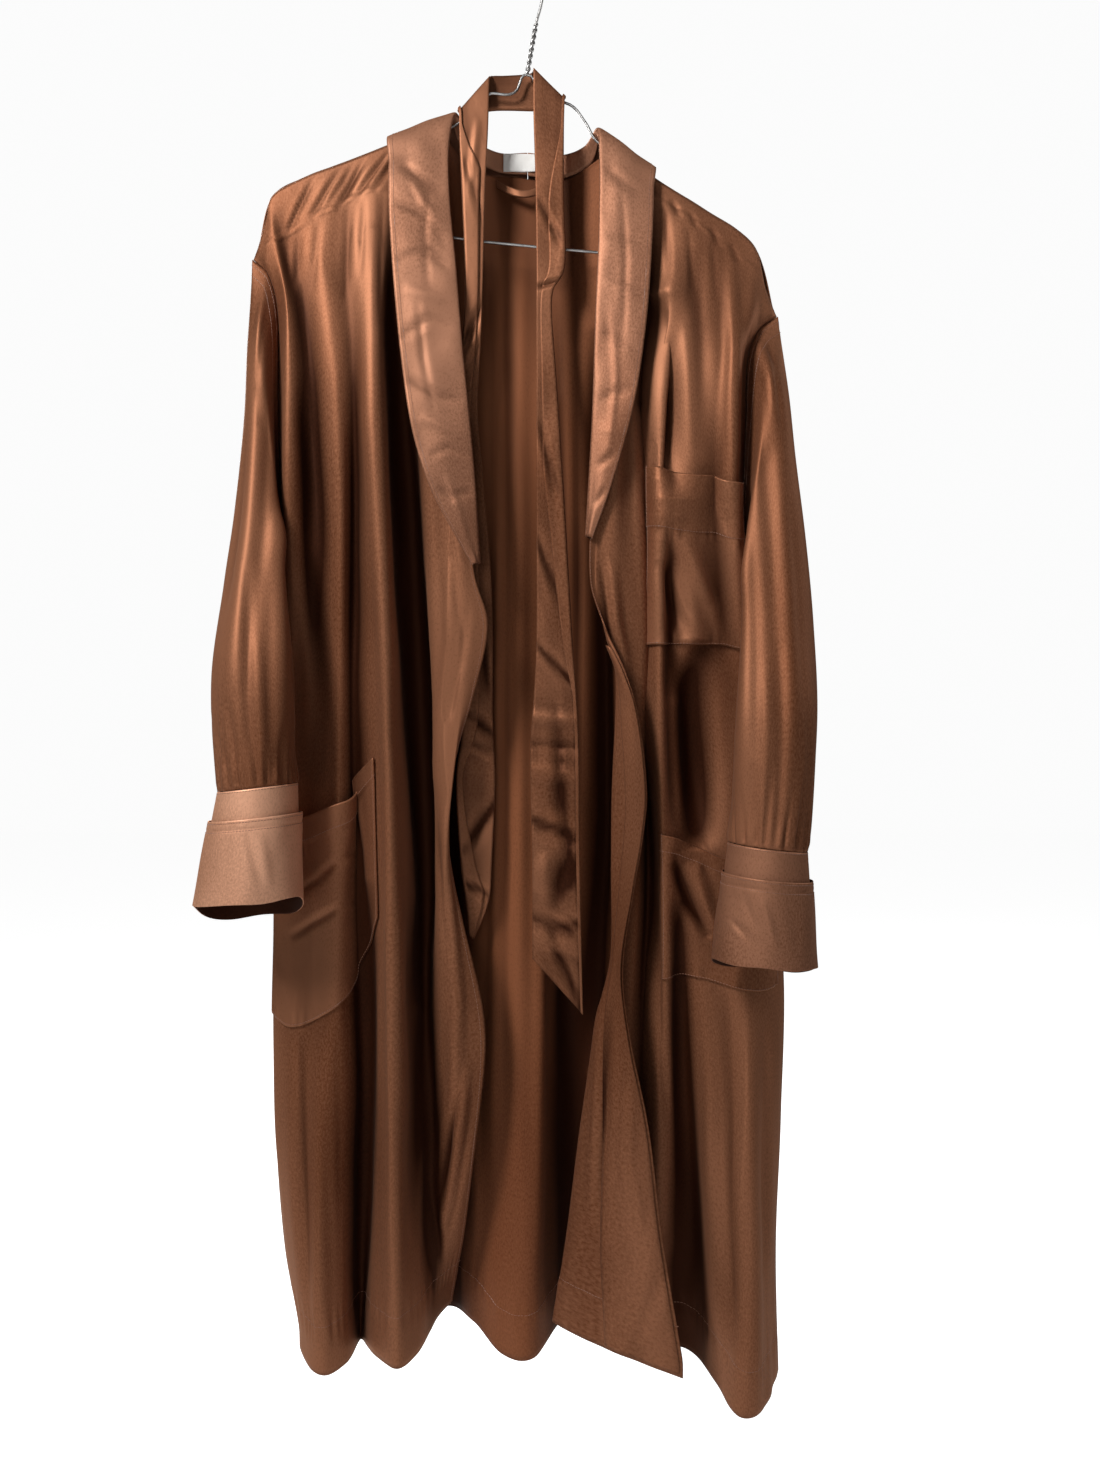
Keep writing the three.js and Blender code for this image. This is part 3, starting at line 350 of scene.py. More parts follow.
def fold_line(fold, share):
    top = fold["top"]
    levels = fold.get("levels", LEVELS)
    used = [i for i, level in enumerate(levels) if level < top[2] - 25]
    depths = [0] + [top[2] - levels[i] for i in used]
    depth = share * (top[2] - fold["hem"])
    x = smooth(depths, [top[0]] + [fold["x"][i] for i in used], depth)
    y = smooth(depths, [top[1]] + [fold["y"][i] for i in used], depth)
    apart = ROOF * np.sign(top[1]) * max(1 - abs(top[1]) / ROOF, 0)
    roof = apart * np.minimum(depth / ROOF, 1) * np.exp(-depth / 120)
    return np.stack([x, y + roof, top[2] - depth], axis=-1)


def side_fold(side, towards):
    top, hem = side["z"][0], side["z"][-1]
    return lambda share: side_edge(side, towards, top + (hem - top) * share)


def hung_cloth(folds):
    """point(u, v): u counts the folds, v is the share of the way down; both are flat rows of numbers."""
    lines = [fold if callable(fold) else (lambda share, fold=fold: fold_line(fold, share)) for fold in folds]

    def point(u, v):
        return smooth(range(len(lines)), np.stack([line(v) for line in lines]), u)

    return point


def crease_depth(points, creases):
    """How far each point is moved by soft creases: (width, depth, [x, z, x, z, ...]) in millimetres."""
    flat = points[..., [0, 2]]
    total = np.zeros(points.shape[:-1])
    for width, depth, path in creases:
        path = np.asarray(path, float).reshape(-1, 2)
        lengths = np.linalg.norm(np.diff(path, axis=0), axis=1)
        walked = np.concatenate([[0], np.cumsum(lengths)])
        nearest = np.full(total.shape, 1e9)
        share = np.zeros(total.shape)
        for start, end, before, length in zip(path[:-1], path[1:], walked, lengths):
            along = (end - start) / length
            t = np.clip((flat - start) @ along, 0, length)
            away = np.linalg.norm(flat - start - t[..., None] * along, axis=-1)
            closer = away < nearest
            nearest = np.where(closer, away, nearest)
            share = np.where(closer, (before + t) / walked[-1], share)
        q = (nearest / width) ** 2
        ends = np.sin(np.pi * np.clip(share, 0, 1)) ** 0.7
        total += depth * (1 - 0.7 * q) * np.exp(-q) * ends
    return total


def rumple(points, size, seed, upright=1.0):
    """A gentle uneven field between about -1 and 1, the same each run."""
    chance = np.random.default_rng(seed)
    waves = chance.normal(size=(14, 3))
    waves /= np.linalg.norm(waves, axis=1)[:, None]
    waves *= (2 * np.pi / size) * chance.uniform(0.6, 1.7, 14)[:, None]
    phases = chance.uniform(0, 2 * np.pi, 14)
    stretched = points * np.array([1, 1, upright])
    total = np.zeros(points.shape[:-1])
    for wave, phase in zip(waves, phases):
        total += np.sin(stretched @ wave + phase)
    return total / 4.5


def ease(value, low, high):
    t = np.clip((value - low) / (high - low), 0, 1)
    return t * t * (3 - 2 * t)


def grid_normals(grid, closed=False, flip=False):
    down = np.gradient(grid, axis=0)
    if closed:
        across = (np.roll(grid, -1, axis=1) - np.roll(grid, 1, axis=1)) / 2
    else:
        across = np.gradient(grid, axis=1)
    normal = np.cross(down, across)
    normal /= np.maximum(np.linalg.norm(normal, axis=-1), 1e-9)[..., None]
    return -normal if flip else normal


def hollow(grid, normal, closed):
    """How far each point lies below the cloth on both sides of it, from 0 on a ridge to 1 in a deep fold; the
    satin paints shade into its colour by it.
    """
    reach, deep, level, gain = 22.0, 14, 0.42, 0.5
    pitch = np.linalg.norm(np.diff(grid, axis=1), axis=-1).mean()
    depth = np.zeros(grid.shape[:2])
    for span in (0.4, 1.0, 2.3):
        window = max(int(reach * span / pitch), 1)
        padded = np.pad(grid, ((0, 0), (window, window), (0, 0)), mode="wrap" if closed else "edge")
        wide = grid.shape[1]
        near = (padded[:, :wide] + padded[:, 2 * window:2 * window + wide]) / 2
        depth += np.sum((near - grid) * normal, axis=-1) / (deep * span)
    return np.clip(level + gain * depth, 0, 1)


def shell(name, grid, material, thick=CLOTH, closed=False, flip=False, turned=0.0, lining=None, shade=0.0):
    """A closed thin wall on a grid of middle points, with a UV map in metres of cloth.
    closed joins the last column to the first, turned thickens the wall inwards, shade adds more painted shade
    to its colour."""
    high, wide = grid.shape[:2]
    normal = grid_normals(grid, closed, flip)
    inner = np.broadcast_to(np.asarray(thick / 2 + turned, float), (high, wide))[..., None]
    outside = grid + normal * thick / 2
    inside = grid - normal * inner
    points = np.concatenate([outside.reshape(-1, 3), inside.reshape(-1, 3)]) * MM
    cells = wide if closed else wide - 1
    around = np.roll(grid, -1, axis=1) if closed else grid[:, 1:]
    steps_across = np.linalg.norm(around - grid[:, :cells], axis=-1).mean(axis=0)
    steps_down = np.linalg.norm(np.diff(grid, axis=0), axis=-1).mean(axis=1)
    u = np.concatenate([[0], np.cumsum(steps_across)]) * MM
    v = -np.concatenate([[0], np.cumsum(steps_down)]) * MM

    def quads(*corners):
        """Point numbers and UV places of faces whose corners are (row, column, 0 outside or 1 inside)."""
        corners = [np.broadcast_arrays(*corner) for corner in corners]
        numbers = [(side * high + row) * wide + column % wide for row, column, side in corners]
        places = [np.stack([u[column], v[row]], axis=1) for row, column, side in corners]
        return np.stack(numbers, axis=1), np.stack(places, axis=1)

    j, i = (part.ravel() for part in np.meshgrid(np.arange(high - 1), np.arange(cells), indexing="ij"))
    k, end = np.arange(cells), high - 1
    sides = [
        quads((j, i, 0), (j + 1, i, 0), (j + 1, i + 1, 0), (j, i + 1, 0)),
        quads((j, i + 1, 1), (j + 1, i + 1, 1), (j + 1, i, 1), (j, i, 1)),
        quads((0, k, 0), (0, k + 1, 0), (0, k + 1, 1), (0, k, 1)),
        quads((end, k, 0), (end, k, 1), (end, k + 1, 1), (end, k + 1, 0)),
    ]
    if not closed:
        r, last = np.arange(high - 1), wide - 1
        sides += [
            quads((r, 0, 0), (r, 0, 1), (r + 1, 0, 1), (r + 1, 0, 0)),
            quads((r, last, 0), (r + 1, last, 0), (r + 1, last, 1), (r, last, 1)),
        ]
    faces, maps = (np.concatenate(part) for part in zip(*sides))
    if flip:
        faces, maps = faces[:, ::-1], maps[:, ::-1]
    counted = np.arange(len(faces))
    outer_faces, rim_faces = counted < len(j), counted >= 2 * len(j)
    mesh = bpy.data.meshes.new(name)
    mesh.from_pydata(points.tolist(), [], faces.tolist())
    mesh.uv_layers.new(name="cloth").data.foreach_set("uv", maps.reshape(-1))
    mesh.polygons.foreach_set("use_smooth", ~rim_faces)
    # Painted shade: each side of the cloth stores how deep in a fold it lies, and the satin darkens its colour
    # by it.
    depth = [np.clip(hollow(grid, side, closed) + shade, 0, 1) for side in (normal, -normal)]
    mesh.attributes.new("hollow", "FLOAT", "POINT").data.foreach_set("value", np.concatenate(depth).ravel())
    mesh.materials.append(material)
    mesh.materials.append(lining or WRONG_SIDE)
    mesh.polygons.foreach_set("material_index", (~outer_faces & ~rim_faces).astype(np.int32))
    mesh.update()
    piece = bpy.data.objects.new(name, mesh)
    bpy.context.scene.collection.objects.link(piece)
    return piece, outside, inside


def finish_cloth(piece, solid):
    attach(piece, "root")
    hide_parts(solid)


def settled(cloth, creases, seed, edges, flip=False):
    """The hung cloth with its creases and rumples, and its outward direction.
    `edges` says over how many folds it comes to rest at the first and last side, and how many folds it has."""
    first, last, folds = edges
    depth, size, upright = 0.8, 46, 0.3

    def surface(u, v):
        point = cloth(u, v)
        across = cloth(u + 0.04, v) - cloth(u - 0.04, v)
        along = cloth(u, v + 0.002) - cloth(u, v - 0.002)
        normal = np.cross(along, across)
        normal /= np.linalg.norm(normal, axis=-1)[..., None]
        outward = -normal if flip else normal
        still = ease(v, 0.0, 0.02) * (0.15 + 0.85 * ease(u, 0, first) * ease(folds - u, 0, last))
        move = crease_depth(point, creases) + depth * rumple(point, size, seed, upright)
        return point + outward * (move * still)[..., None], outward

    return surface


def bump_at(value, middle, spread):
    return np.exp(-(((value - middle) / spread) ** 2))


def panel(name, surface, folds, across, down, flip=False, lining=None):
    """One body panel: rows close together over the wire, a turned hem and small puckers along its stitches."""
    close, turn, pucker, dent = 10, 0.7, 0.5, 0.5
    body = np.linspace(0, 1, down)
    shares = (ROOF + close * body + (PANEL_LENGTH - ROOF - close) * body**1.25) / PANEL_LENGTH
    shares = np.concatenate([[0, ROOF / 2 / PANEL_LENGTH], shares])
    u, v = np.meshgrid(np.linspace(0, folds, across), shares)
    grid = surface(u.ravel(), v.ravel())[0].reshape(len(shares), across, 3)
    hem = 1 - HEM_DEPTH / PANEL_LENGTH
    pulled = np.sin(u * 17 + 2.5 * np.sin(u * 3.1)) * bump_at(v, hem, 0.012)
    move = pucker * pulled - dent * bump_at(v, hem, 0.003)
    grid = grid + grid_normals(grid, flip=flip) * move[..., None]
    turned = turn * ease(v, hem - 0.001, hem + 0.001)
    return shell(name, grid, BODY_SATIN, turned=turned, flip=flip, lining=lining)


# Creases of each panel: width, depth (negative goes in), then x and z along it
RIGHT_CREASES = [
    (3, -2, [-221.4, -275.5, -195.9, -215.2]),
    (4, -2.4, [-201.3, -264.5, -170.3, -206.1]),
    (4, -2.6, [-177.6, -254.5, -146.5, -197]),
    (3.5, -3, [-159.3, -244.4, -122.8, -189.6]),
    (4, -3.4, [-142.9, -237.1, -111.8, -184.2]),
    (3.5, -1.8, [-190.4, -259.1, -159.3, -206.1]),
    (4, -1, [-210.5, -271.8, -212.3, -324.8]),
    (5, -1.2, [-192.2, -262.7, -197.7, -333.9]),
    (5, -1.2, [-164.8, -248.1, -166.6, -343.1]),
    (4, -1.2, [-150.2, -242.6, -152, -324.8]),
    (5, -2, [-133.8, -237.1, -133.8, -370.5]),
    (2.2, 1, [-261.6, -299.2, -220.5, -274.6, -197.7, -260.9, -161.2, -242.6, -88.1, -215.2]),
    (13, -4, [-201.3, -297.4, -198.6, -452.7, -191.3, -580.5, -186.7, -708.4, -190.4, -790.6]),
    (8, 2, [-215, -288.3, -214.1, -452.7, -206.8, -617.1, -199.5, -744.9]),
    (9, -1.6, [-161.2, -279.2, -160.2, -452.7, -159.3, -617.1, -161.2, -744.9]),
    (10, 3, [-141.1, -270, -141.1, -452.7, -133.8, -580.5, -128.3, -708.4]),
    (12, -13, [-121.9, -242.6, -121, -361.3, -115.5, -452.7, -108.2, -580.5, -100.9, -726.7, -93.6, -891.1,
      -99.1, -991.5]),
    (7, 5, [-121, -744.9, -118.2, -891.1, -114.6, -1073.7, -113.7, -1247.3]),
    (10, -7, [-142.9, -872.8, -146.5, -1028.1, -150.2, -1165.1, -155.7, -1297.5]),
    (7, -3, [-172.1, -991.5, -168.5, -1119.4, -164.8, -1247.3]),
    (9, 5, [-188.6, -1009.8, -186.7, -1165.1, -183.1, -1315.8]),
    (8, -5, [-207.7, -1009.8, -202.3, -1146.8, -195, -1283.8]),
    (9, -6, [-93.6, -945.9, -88.1, -1119.4, -91.7, -1256.4]),
    (8, 4, [-79, -799.7, -69.8, -891.1, -62.5, -982.4, -68, -1119.4]),
    (6, -3, [-84.4, -781.5, -79, -863.7, -71.7, -945.9]),
    (5, -3, [-58.9, -1037.2, -69.8, -1110.3, -79, -1183.3]),
    (5, -3, [-46.1, -1064.6, -58.9, -1137.7, -73.5, -1201.6]),
    (5, 3, [-51.6, -1037.2, -65.3, -1119.4, -79, -1201.6]),
    (4, -2.5, [-88.1, -1146.8, -82.6, -1201.6, -79, -1238.1]),
    (5, -2.5, [-216, -891.1, -188.6, -872.8, -161.2, -845.4]),
    (5, -2, [-217.8, -927.6, -188.6, -909.3, -161.2, -891.1]),
    (5, -2.5, [-159.3, -772.3, -150.2, -845.4, -146.5, -918.5]),
    (5, -2, [-97.2, -580.5, -93.6, -671.9, -88.1, -763.2]),
    (6, 2.5, [-71.7, -580.5, -69.8, -653.6, -79, -726.7]),
    (4, -1.5, [-51.6, -617.1, -58.9, -671.9, -71.7, -726.7]),
    (4, -1.4, [-68, -562.3, -62.5, -617.1, -55.2, -662.7]),
]
LEFT_CREASES = [
    (4, -2.2, [122, -239, 112.8, -226.2]),
    (4, -2.2, [142.1, -257.2, 132.9, -242.6]),
    (4, -2, [158.5, -270, 149.4, -253.6]),
    (4, -2.2, [178.6, -286.5, 169.5, -268.2]),
    (4, -2, [196.9, -302.9, 187.7, -284.6]),
    (4, -1.2, [129.3, -251.8, 131.1, -324.8]),
    (4, -1.2, [149.4, -264.5, 153, -333.9]),
    (4, -1, [171.3, -277.3, 173.1, -343.1]),
    (2.2, 1, [85.4, -220.7, 114.7, -239, 149.4, -259.1, 185.9, -288.3, 231.6, -324.8]),
    (10, -9, [119.2, -333.9, 120.1, -388.7, 122, -443.5, 124.7, -507.5]),
    (15, -16, [129.3, -333.9, 132, -434.4, 133.8, -525.7]),
    (13, -10, [132.9, -544, 134.7, -617.1, 136.6, -708.4]),
    (12, -4, [154.8, -288.3, 156.7, -379.6, 158.5, -489.2]),
    (9, 5, [187.7, -288.3, 188.6, -379.6, 187.7, -480.1, 182.2, -544]),
    (9, 3.5, [129.3, -544, 149.4, -580.5, 169.5, -626.2, 178.6, -662.7]),
    (9, -5, [125.6, -580.5, 136.6, -617.1, 149.4, -653.6]),
    (22, -22, [151.2, -653.6, 155.8, -744.9, 160.3, -845.4]),
    (8, -4, [129.3, -671.9, 132.9, -763.2, 134.7, -827.1]),
    (11, -8, [140.2, -891.1, 145.7, -1073.7, 153, -1183.3, 160.3, -1283.8]),
    (8, 3.5, [164, -964.1, 167.6, -1073.7, 169.5, -1183.3, 174.9, -1283.8]),
    (9, -5, [184.1, -973.3, 183.2, -1092, 180.4, -1201.6, 183.2, -1343.2]),
    (9, 5, [204.2, -982.4, 202.3, -1110.3, 200.5, -1219.9, 203.2, -1352.3]),
    (7, -4, [220.6, -991.5, 218.8, -1110.3, 215.1, -1219.9, 219.7, -1329.5]),
    (8, -5, [132.9, -854.5, 149.4, -891.1, 169.5, -927.6]),
    (8, 4, [149.4, -854.5, 162.1, -891.1, 173.1, -918.5]),
    (10, 11, [101.9, -434.4, 101, -544, 103.7, -653.6, 111, -763.2]),
    (6, 3, [78.1, -580.5, 81.8, -635.3, 94.6, -690.1]),
    (5, -2, [67.2, -580.5, 78.1, -653.6, 103.7, -726.7]),
    (6, -4, [112.8, -763.2, 117.4, -891.1, 122, -1000.7, 129.3, -1101.1]),
    (6, -3, [67.2, -982.4, 63.5, -1092, 58, -1192.5]),
    (5, 2.5, [76.3, -982.4, 72.6, -1092, 65.3, -1201.6]),
    (5, -2.5, [92.7, -1046.3, 87.3, -1119.4, 103.7, -1210.7]),
    (4, -2, [112.8, -1146.8, 103.7, -1210.7, 94.6, -1274.7]),
    (4, -2, [129.3, -1201.6, 112.8, -1247.3, 103.7, -1283.8]),
    (4, 1.8, [103.7, -1110.3, 117.4, -1183.3, 129.3, -1256.4]),
]
BACK_CREASES = [
    (9, 5, [31.1, -323.7, 31.1, -572.8, 33, -821.9, 36.8, -1090.1]),
    (9, -4, [-7.2, -256.7, -7.2, -534.5, -7.2, -821.9, -11.1, -1185.9]),
    (7, -5, [-26.4, -266.2, -26.4, -534.5, -28.3, -821.9, -32.1, -1185.9]),
    (15, 21, [65.6, -352.5, 69.4, -534.5, 73.2, -821.9, 63.7, -1070.9]),
    (7, 4, [46.4, -285.4, 48.3, -534.5, 50.2, -821.9]),
    (6, -4, [11.9, -706.9, 11.9, -898.5, 10, -1233.8]),
    (7, -5, [-83.9, -304.6, -87.7, -611.1, -93.5, -898.5, -97.3, -1272.1]),
    (8, 5, [-122.2, -285.4, -126, -611.1, -131.8, -898.5, -135.6, -1272.1]),
    (8, -6, [-160.5, -285.4, -168.2, -611.1, -173.9, -898.5, -177.8, -1272.1]),
    (7, 4, [-198.8, -304.6, -206.5, -611.1, -212.2, -898.5, -212.2, -1272.1]),
    (7, -4, [-221.8, -323.7, -227.6, -611.1, -229.5, -898.5, -225.7, -1272.1]),
    (8, -5, [107.7, -304.6, 111.5, -611.1, 117.3, -898.5, 117.3, -1272.1]),
    (8, 5, [136.5, -304.6, 142.2, -611.1, 146, -898.5, 146, -1272.1]),
    (7, -5, [170.9, -323.7, 170.9, -611.1, 176.7, -898.5, 176.7, -1272.1]),
    (7, 4, [193.9, -342.9, 192, -611.1, 201.6, -898.5, 205.4, -1272.1]),
    (5, -3, [-55.1, -946.4, -51.3, -1090.1, -47.5, -1233.8]),
    (5, -2, [-218, -242.3, -103, -256.7, -64.7, -227.9]),
    (5, -2, [107.7, -227.9, 165.2, -261.5, 205.4, -287.3]),
]

right_cloth = hung_cloth([side_fold(RIGHT_SIDE, -1), *RIGHT_FRONT])
left_cloth = hung_cloth([side_fold(LEFT_SIDE, -1), *LEFT_FRONT])
back_cloth = hung_cloth([side_fold(RIGHT_SIDE, 1), *BACK, side_fold(LEFT_SIDE, 1)])
right_surface = settled(right_cloth, RIGHT_CREASES, 3, (1.0, 0.6, 11))
left_surface = settled(left_cloth, LEFT_CREASES, 5, (1.0, 0.6, 12), flip=True)
back_surface = settled(back_cloth, BACK_CREASES, 8, (1.0, 1.0, 15), flip=True)

robe_right, right_out, _ = panel("robe_front_right", right_surface, 11, 140, 250)
robe_left, left_out, left_in = panel(
    "robe_front_left", left_surface, 12, 150, 250, flip=True, lining=BODY_SATIN)
robe_back, back_out, back_in = panel("robe_back", back_surface, 15, 170, 230, flip=True)
finish_cloth(robe_right, "front_right")
finish_cloth(robe_left, "front_left")
finish_cloth(robe_back, "back")


# Front facing on the wearer's left: the turned front edge shows its inside below the waist.
# It is a second layer of the satin, sewn along the edge and pressed flat.
def patch_grid(surface, start, end, mouth, bottom, across, down, gape=0, out=LAP + 0.2):
    """A layer laid on a panel between two of its folds. mouth and bottom are shares of the way down."""
    share, fall = np.meshgrid(np.linspace(0, 1, across), np.linspace(0, 1, down))
    share, fall = share.ravel(), fall.ravel()
    high = smooth(np.linspace(0, 1, len(mouth)), mouth, share)
    low = smooth(np.linspace(0, 1, len(bottom)), bottom, share)
    v = high + (low - high) * fall
    point, outward = surface(start + (end - start) * share, v)
    away = out + gape * np.sin(np.pi * share) * (1 - fall) ** 2
    return (point + outward * away[:, None]).reshape(down, across, 3)


facing_grid = patch_grid(left_surface, 11, 11.97, [0.42, 0.42], [0.997, 0.997], 14, 200, out=-LAP - 1)
facing_cloth, _, _ = shell("facing_left_cloth", facing_grid, BODY_SATIN, flip=True, lining=BODY_SATIN)
finish_cloth(facing_cloth, "facing_left")


# Pockets: two hip patches of the satin with a shaped mouth, and a chest patch with a deep turned band.
# Each stands a little open at its mouth and is stitched down round the other three sides.
POCKET_SATIN = satin("copper satin, pockets", BROWN_LIGHT, BROWN_DEEP, rumple=0.7, size=38.0, upright=0.6)
HIP_BAND = 0.12
CHEST_BAND = 0.33


def pocket(name, solid, grid, band, flip):
    """The turned band at the mouth is a second thickness, and its stitching pulls small puckers below it."""
    down = np.linspace(0, 1, grid.shape[0])[:, None]
    across = np.linspace(0, 1, grid.shape[1])[None, :]
    lifted = 0.7 * (1 - ease(down, band, band + 0.012))
    puckers = np.sin(across * 61 + 2 * np.sin(across * 17)) * (0.6 + 0.4 * np.sin(across * 23))
    below_band = puckers * np.exp(-(((down - band - 0.03) / 0.04) ** 2))
    at_foot = puckers * bump_at(down, 0.97, 0.05)
    grid = grid + grid_normals(grid, flip=flip) * (lifted + 0.55 * below_band + 0.5 * at_foot)[..., None]
    turned = 0.6 * (1 - ease(down, band, band + 0.01)) * np.ones((1, grid.shape[1]))
    piece, outside, _ = shell(name, grid, POCKET_SATIN, flip=flip, turned=turned)
    finish_cloth(piece, solid)
    return outside


hip_right_mouth, hip_right_foot = [0.525, 0.535, 0.539, 0.528, 0.509], [0.7, 0.715, 0.71, 0.69, 0.64]
hip_left_mouth, hip_left_foot = [0.518, 0.528, 0.545, 0.549, 0.552], [0.632, 0.677]
chest_mouth, chest_foot = [0.176, 0.2, 0.2225, 0.235, 0.244], [0.323, 0.346, 0.368, 0.384, 0.396]
hip_right_out = pocket(
    "hip_pocket_right", "pocket_hip_right",
    patch_grid(right_surface, 1, 6, hip_right_mouth, hip_right_foot, 70, 90, gape=9),
    HIP_BAND, False)
hip_left_out = pocket(
    "hip_pocket_left", "pocket_hip_left",
    patch_grid(left_surface, 1, 6, hip_left_mouth, hip_left_foot, 70, 90, gape=9),
    HIP_BAND, True)
chest_out = pocket(
    "chest_pocket", "pocket_chest",
    patch_grid(left_surface, 1.5, 6.5, chest_mouth, chest_foot, 70, 100, gape=4, out=LAP + 0.8),
    CHEST_BAND, True)


# Sleeves: cut from the satin in one piece each, set into the armhole and gathered into the cuff.
# They hang nearly straight, with long soft folds from the shoulder point.
RIGHT_SLEEVE = {
  "side": RIGHT_SIDE, "out": -1, "clear": 1.9, "top": [-540, -440, -340, -305, -297, -305, -340, -440],
  "levels": [-380, -450, -540, -600, -690],
  "x": [[0, 0, 0, -234, -213], [0, -233, -224, -215, -208], [-241, -243, -246, -248, -247],
    [-252, -254, -258, -262, -269], [-258, -261, -268, -274, -281], [-252, -256, -263, -268, -275],
    [-240, -246, -254, -258, -258], [0, -236, -241, -247, -236]],
  "y": [[0, 0, 0, -12, -34], [0, -18, -38, -56, -82], [-30, -34, -52, -68, -94],
    [-24, -28, -40, -54, -78], [-8, -12, -22, -32, -46], [10, 14, 12, 2, -18],
    [24, 28, 26, 16, -6], [0, 24, 22, 8, -14]],
}
LEFT_SLEEVE = {
  "side": LEFT_SIDE, "out": 1, "clear": 3.2, "top": [-560, -460, -385, -364, -350, -364, -385, -460],
  "levels": [-420, -490, -560, -640, -730],
  "x": [[0, 0, 0, 208, 191], [0, 207, 198, 193, 188], [219, 224, 228, 230, 228],
    [234, 240, 246, 250, 251], [242, 248, 254, 259, 260], [235, 242, 248, 253, 254],
    [224, 231, 237, 240, 236], [0, 209, 214, 224, 212]],
  "y": [[0, 0, 0, -16, -46], [0, -26, -46, -64, -86], [-32, -40, -54, -72, -94],
    [-26, -34, -44, -58, -78], [-8, -14, -22, -32, -46], [12, 14, 8, -2, -22],
    [24, 28, 22, 10, -12], [0, 24, 20, 4, -26]],
}
RIGHT_CUFF = {
  "out": -1, "top": (-236, -64, -786), "bottom": (-243, -70, -884), "wide": (34, 44), "deep": (37, 42),
  "tilt": 8, "drop": 30,
}
LEFT_CUFF = {
  "out": 1, "top": (213, -66, -838), "bottom": (209, -72, -938), "wide": (34, 43), "deep": (37, 42),
  "tilt": 8, "drop": 20,
}
# Creases, written as the panels' are
RIGHT_SLEEVE_CREASES = [
    (9, -2.2, [-230.3, -351.9, -232.1, -459, -233.9, -584.1, -235.7, -709.1]),
    (9, 1.8, [-239.3, -351.9, -242.8, -476.9, -246.4, -601.9, -250, -709.1]),
    (8, -1.6, [-250, -459, -255.3, -566.2, -262.5, -673.4, -262.5, -753.7]),
    (7, -2.2, [-225, -584.1, -221.4, -673.4, -216, -762.7]),
    (5, -2.5, [-244.6, -584.1, -239.3, -673.4, -233.9, -771.6]),
    (5, -2.5, [-255.3, -709.1, -250, -744.8, -246.4, -776.1]),
    (5, 2.5, [-230.3, -655.5, -226.8, -709.1, -223.2, -771.6]),
    (4, -2, [-271.4, -673.4, -267.8, -726.9, -260.7, -771.6]),
    (4, -2, [-235.7, -325.1, -239.3, -369.7, -242.8, -423.3]),
    (4, -2, [-225, -339.4, -225, -378.7, -226.8, -441.2]),
    (4, -1.8, [-276.8, -719.8, -266, -744.8, -255.3, -773.4]),
    (4, -2, [-205.3, -726.9, -210.7, -753.7, -214.3, -778.7]),
]
LEFT_SLEEVE_CREASES = [
    (9, -2.2, [212.6, -387.6, 214.4, -494.8, 218, -619.8, 216.2, -744.8]),
    (9, 1.8, [223.3, -387.6, 228.7, -494.8, 232.3, -619.8, 230.5, -744.8]),
    (8, -1.6, [234, -494.8, 239.4, -601.9, 241.2, -709.1, 235.8, -798.4]),
    (7, -2.2, [201.9, -512.6, 201.9, -637.6, 198.3, -762.7]),
    (5, -2.5, [221.5, -655.5, 219.7, -744.8, 214.4, -834.1]),
    (5, 2.5, [209, -673.4, 205.5, -762.7, 200.1, -825.2]),
    (4, -2, [244.8, -709.1, 244.8, -780.5, 237.6, -834.1]),
    (4, -2, [194.7, -762.7, 193, -798.4, 189.4, -834.1]),
    (4, -2, [210.8, -369.7, 209, -414.4, 207.2, -468]),
    (4, -2, [223.3, -371.5, 226.9, -414.4, 230.5, -468]),
]
SLEEVE_SATIN = satin("copper satin, sleeves", BROWN_LIGHT, BROWN_DEEP, size=24.0, rough=0.52)
POINTS_ROUND = 8  # in a ring: 0 is at the underarm, 2 in front, 4 at the shoulder, 6 behind


def angle_of(turn):
    return turn / POINTS_ROUND * 2 * np.pi


def cuff_ring(cuff, turn, down, off=0.0):
    """Points round a cuff: `down` is the share of the way to its lower edge, `off` the distance outside it."""
    angle = angle_of(turn)
    middle = np.array(cuff["top"]) + (np.array(cuff["bottom"]) - np.array(cuff["top"])) * down[..., None]
    wide = cuff["wide"][0] + (cuff["wide"][1] - cuff["wide"][0]) * down + off
    deep = cuff["deep"][0] + (cuff["deep"][1] - cuff["deep"][0]) * down + off
    x, y, z = -cuff["out"] * np.cos(angle) * wide, -np.sin(angle) * deep, cuff["tilt"] * np.cos(angle) / 2
    return middle + np.stack([x, y, z], axis=-1)


def round_through(points, turn):
    """A smooth closed line through a ring of points."""
    return smooth(range(len(points) + 5), np.concatenate([points[-2:], points, points[:3]]), turn + 2)


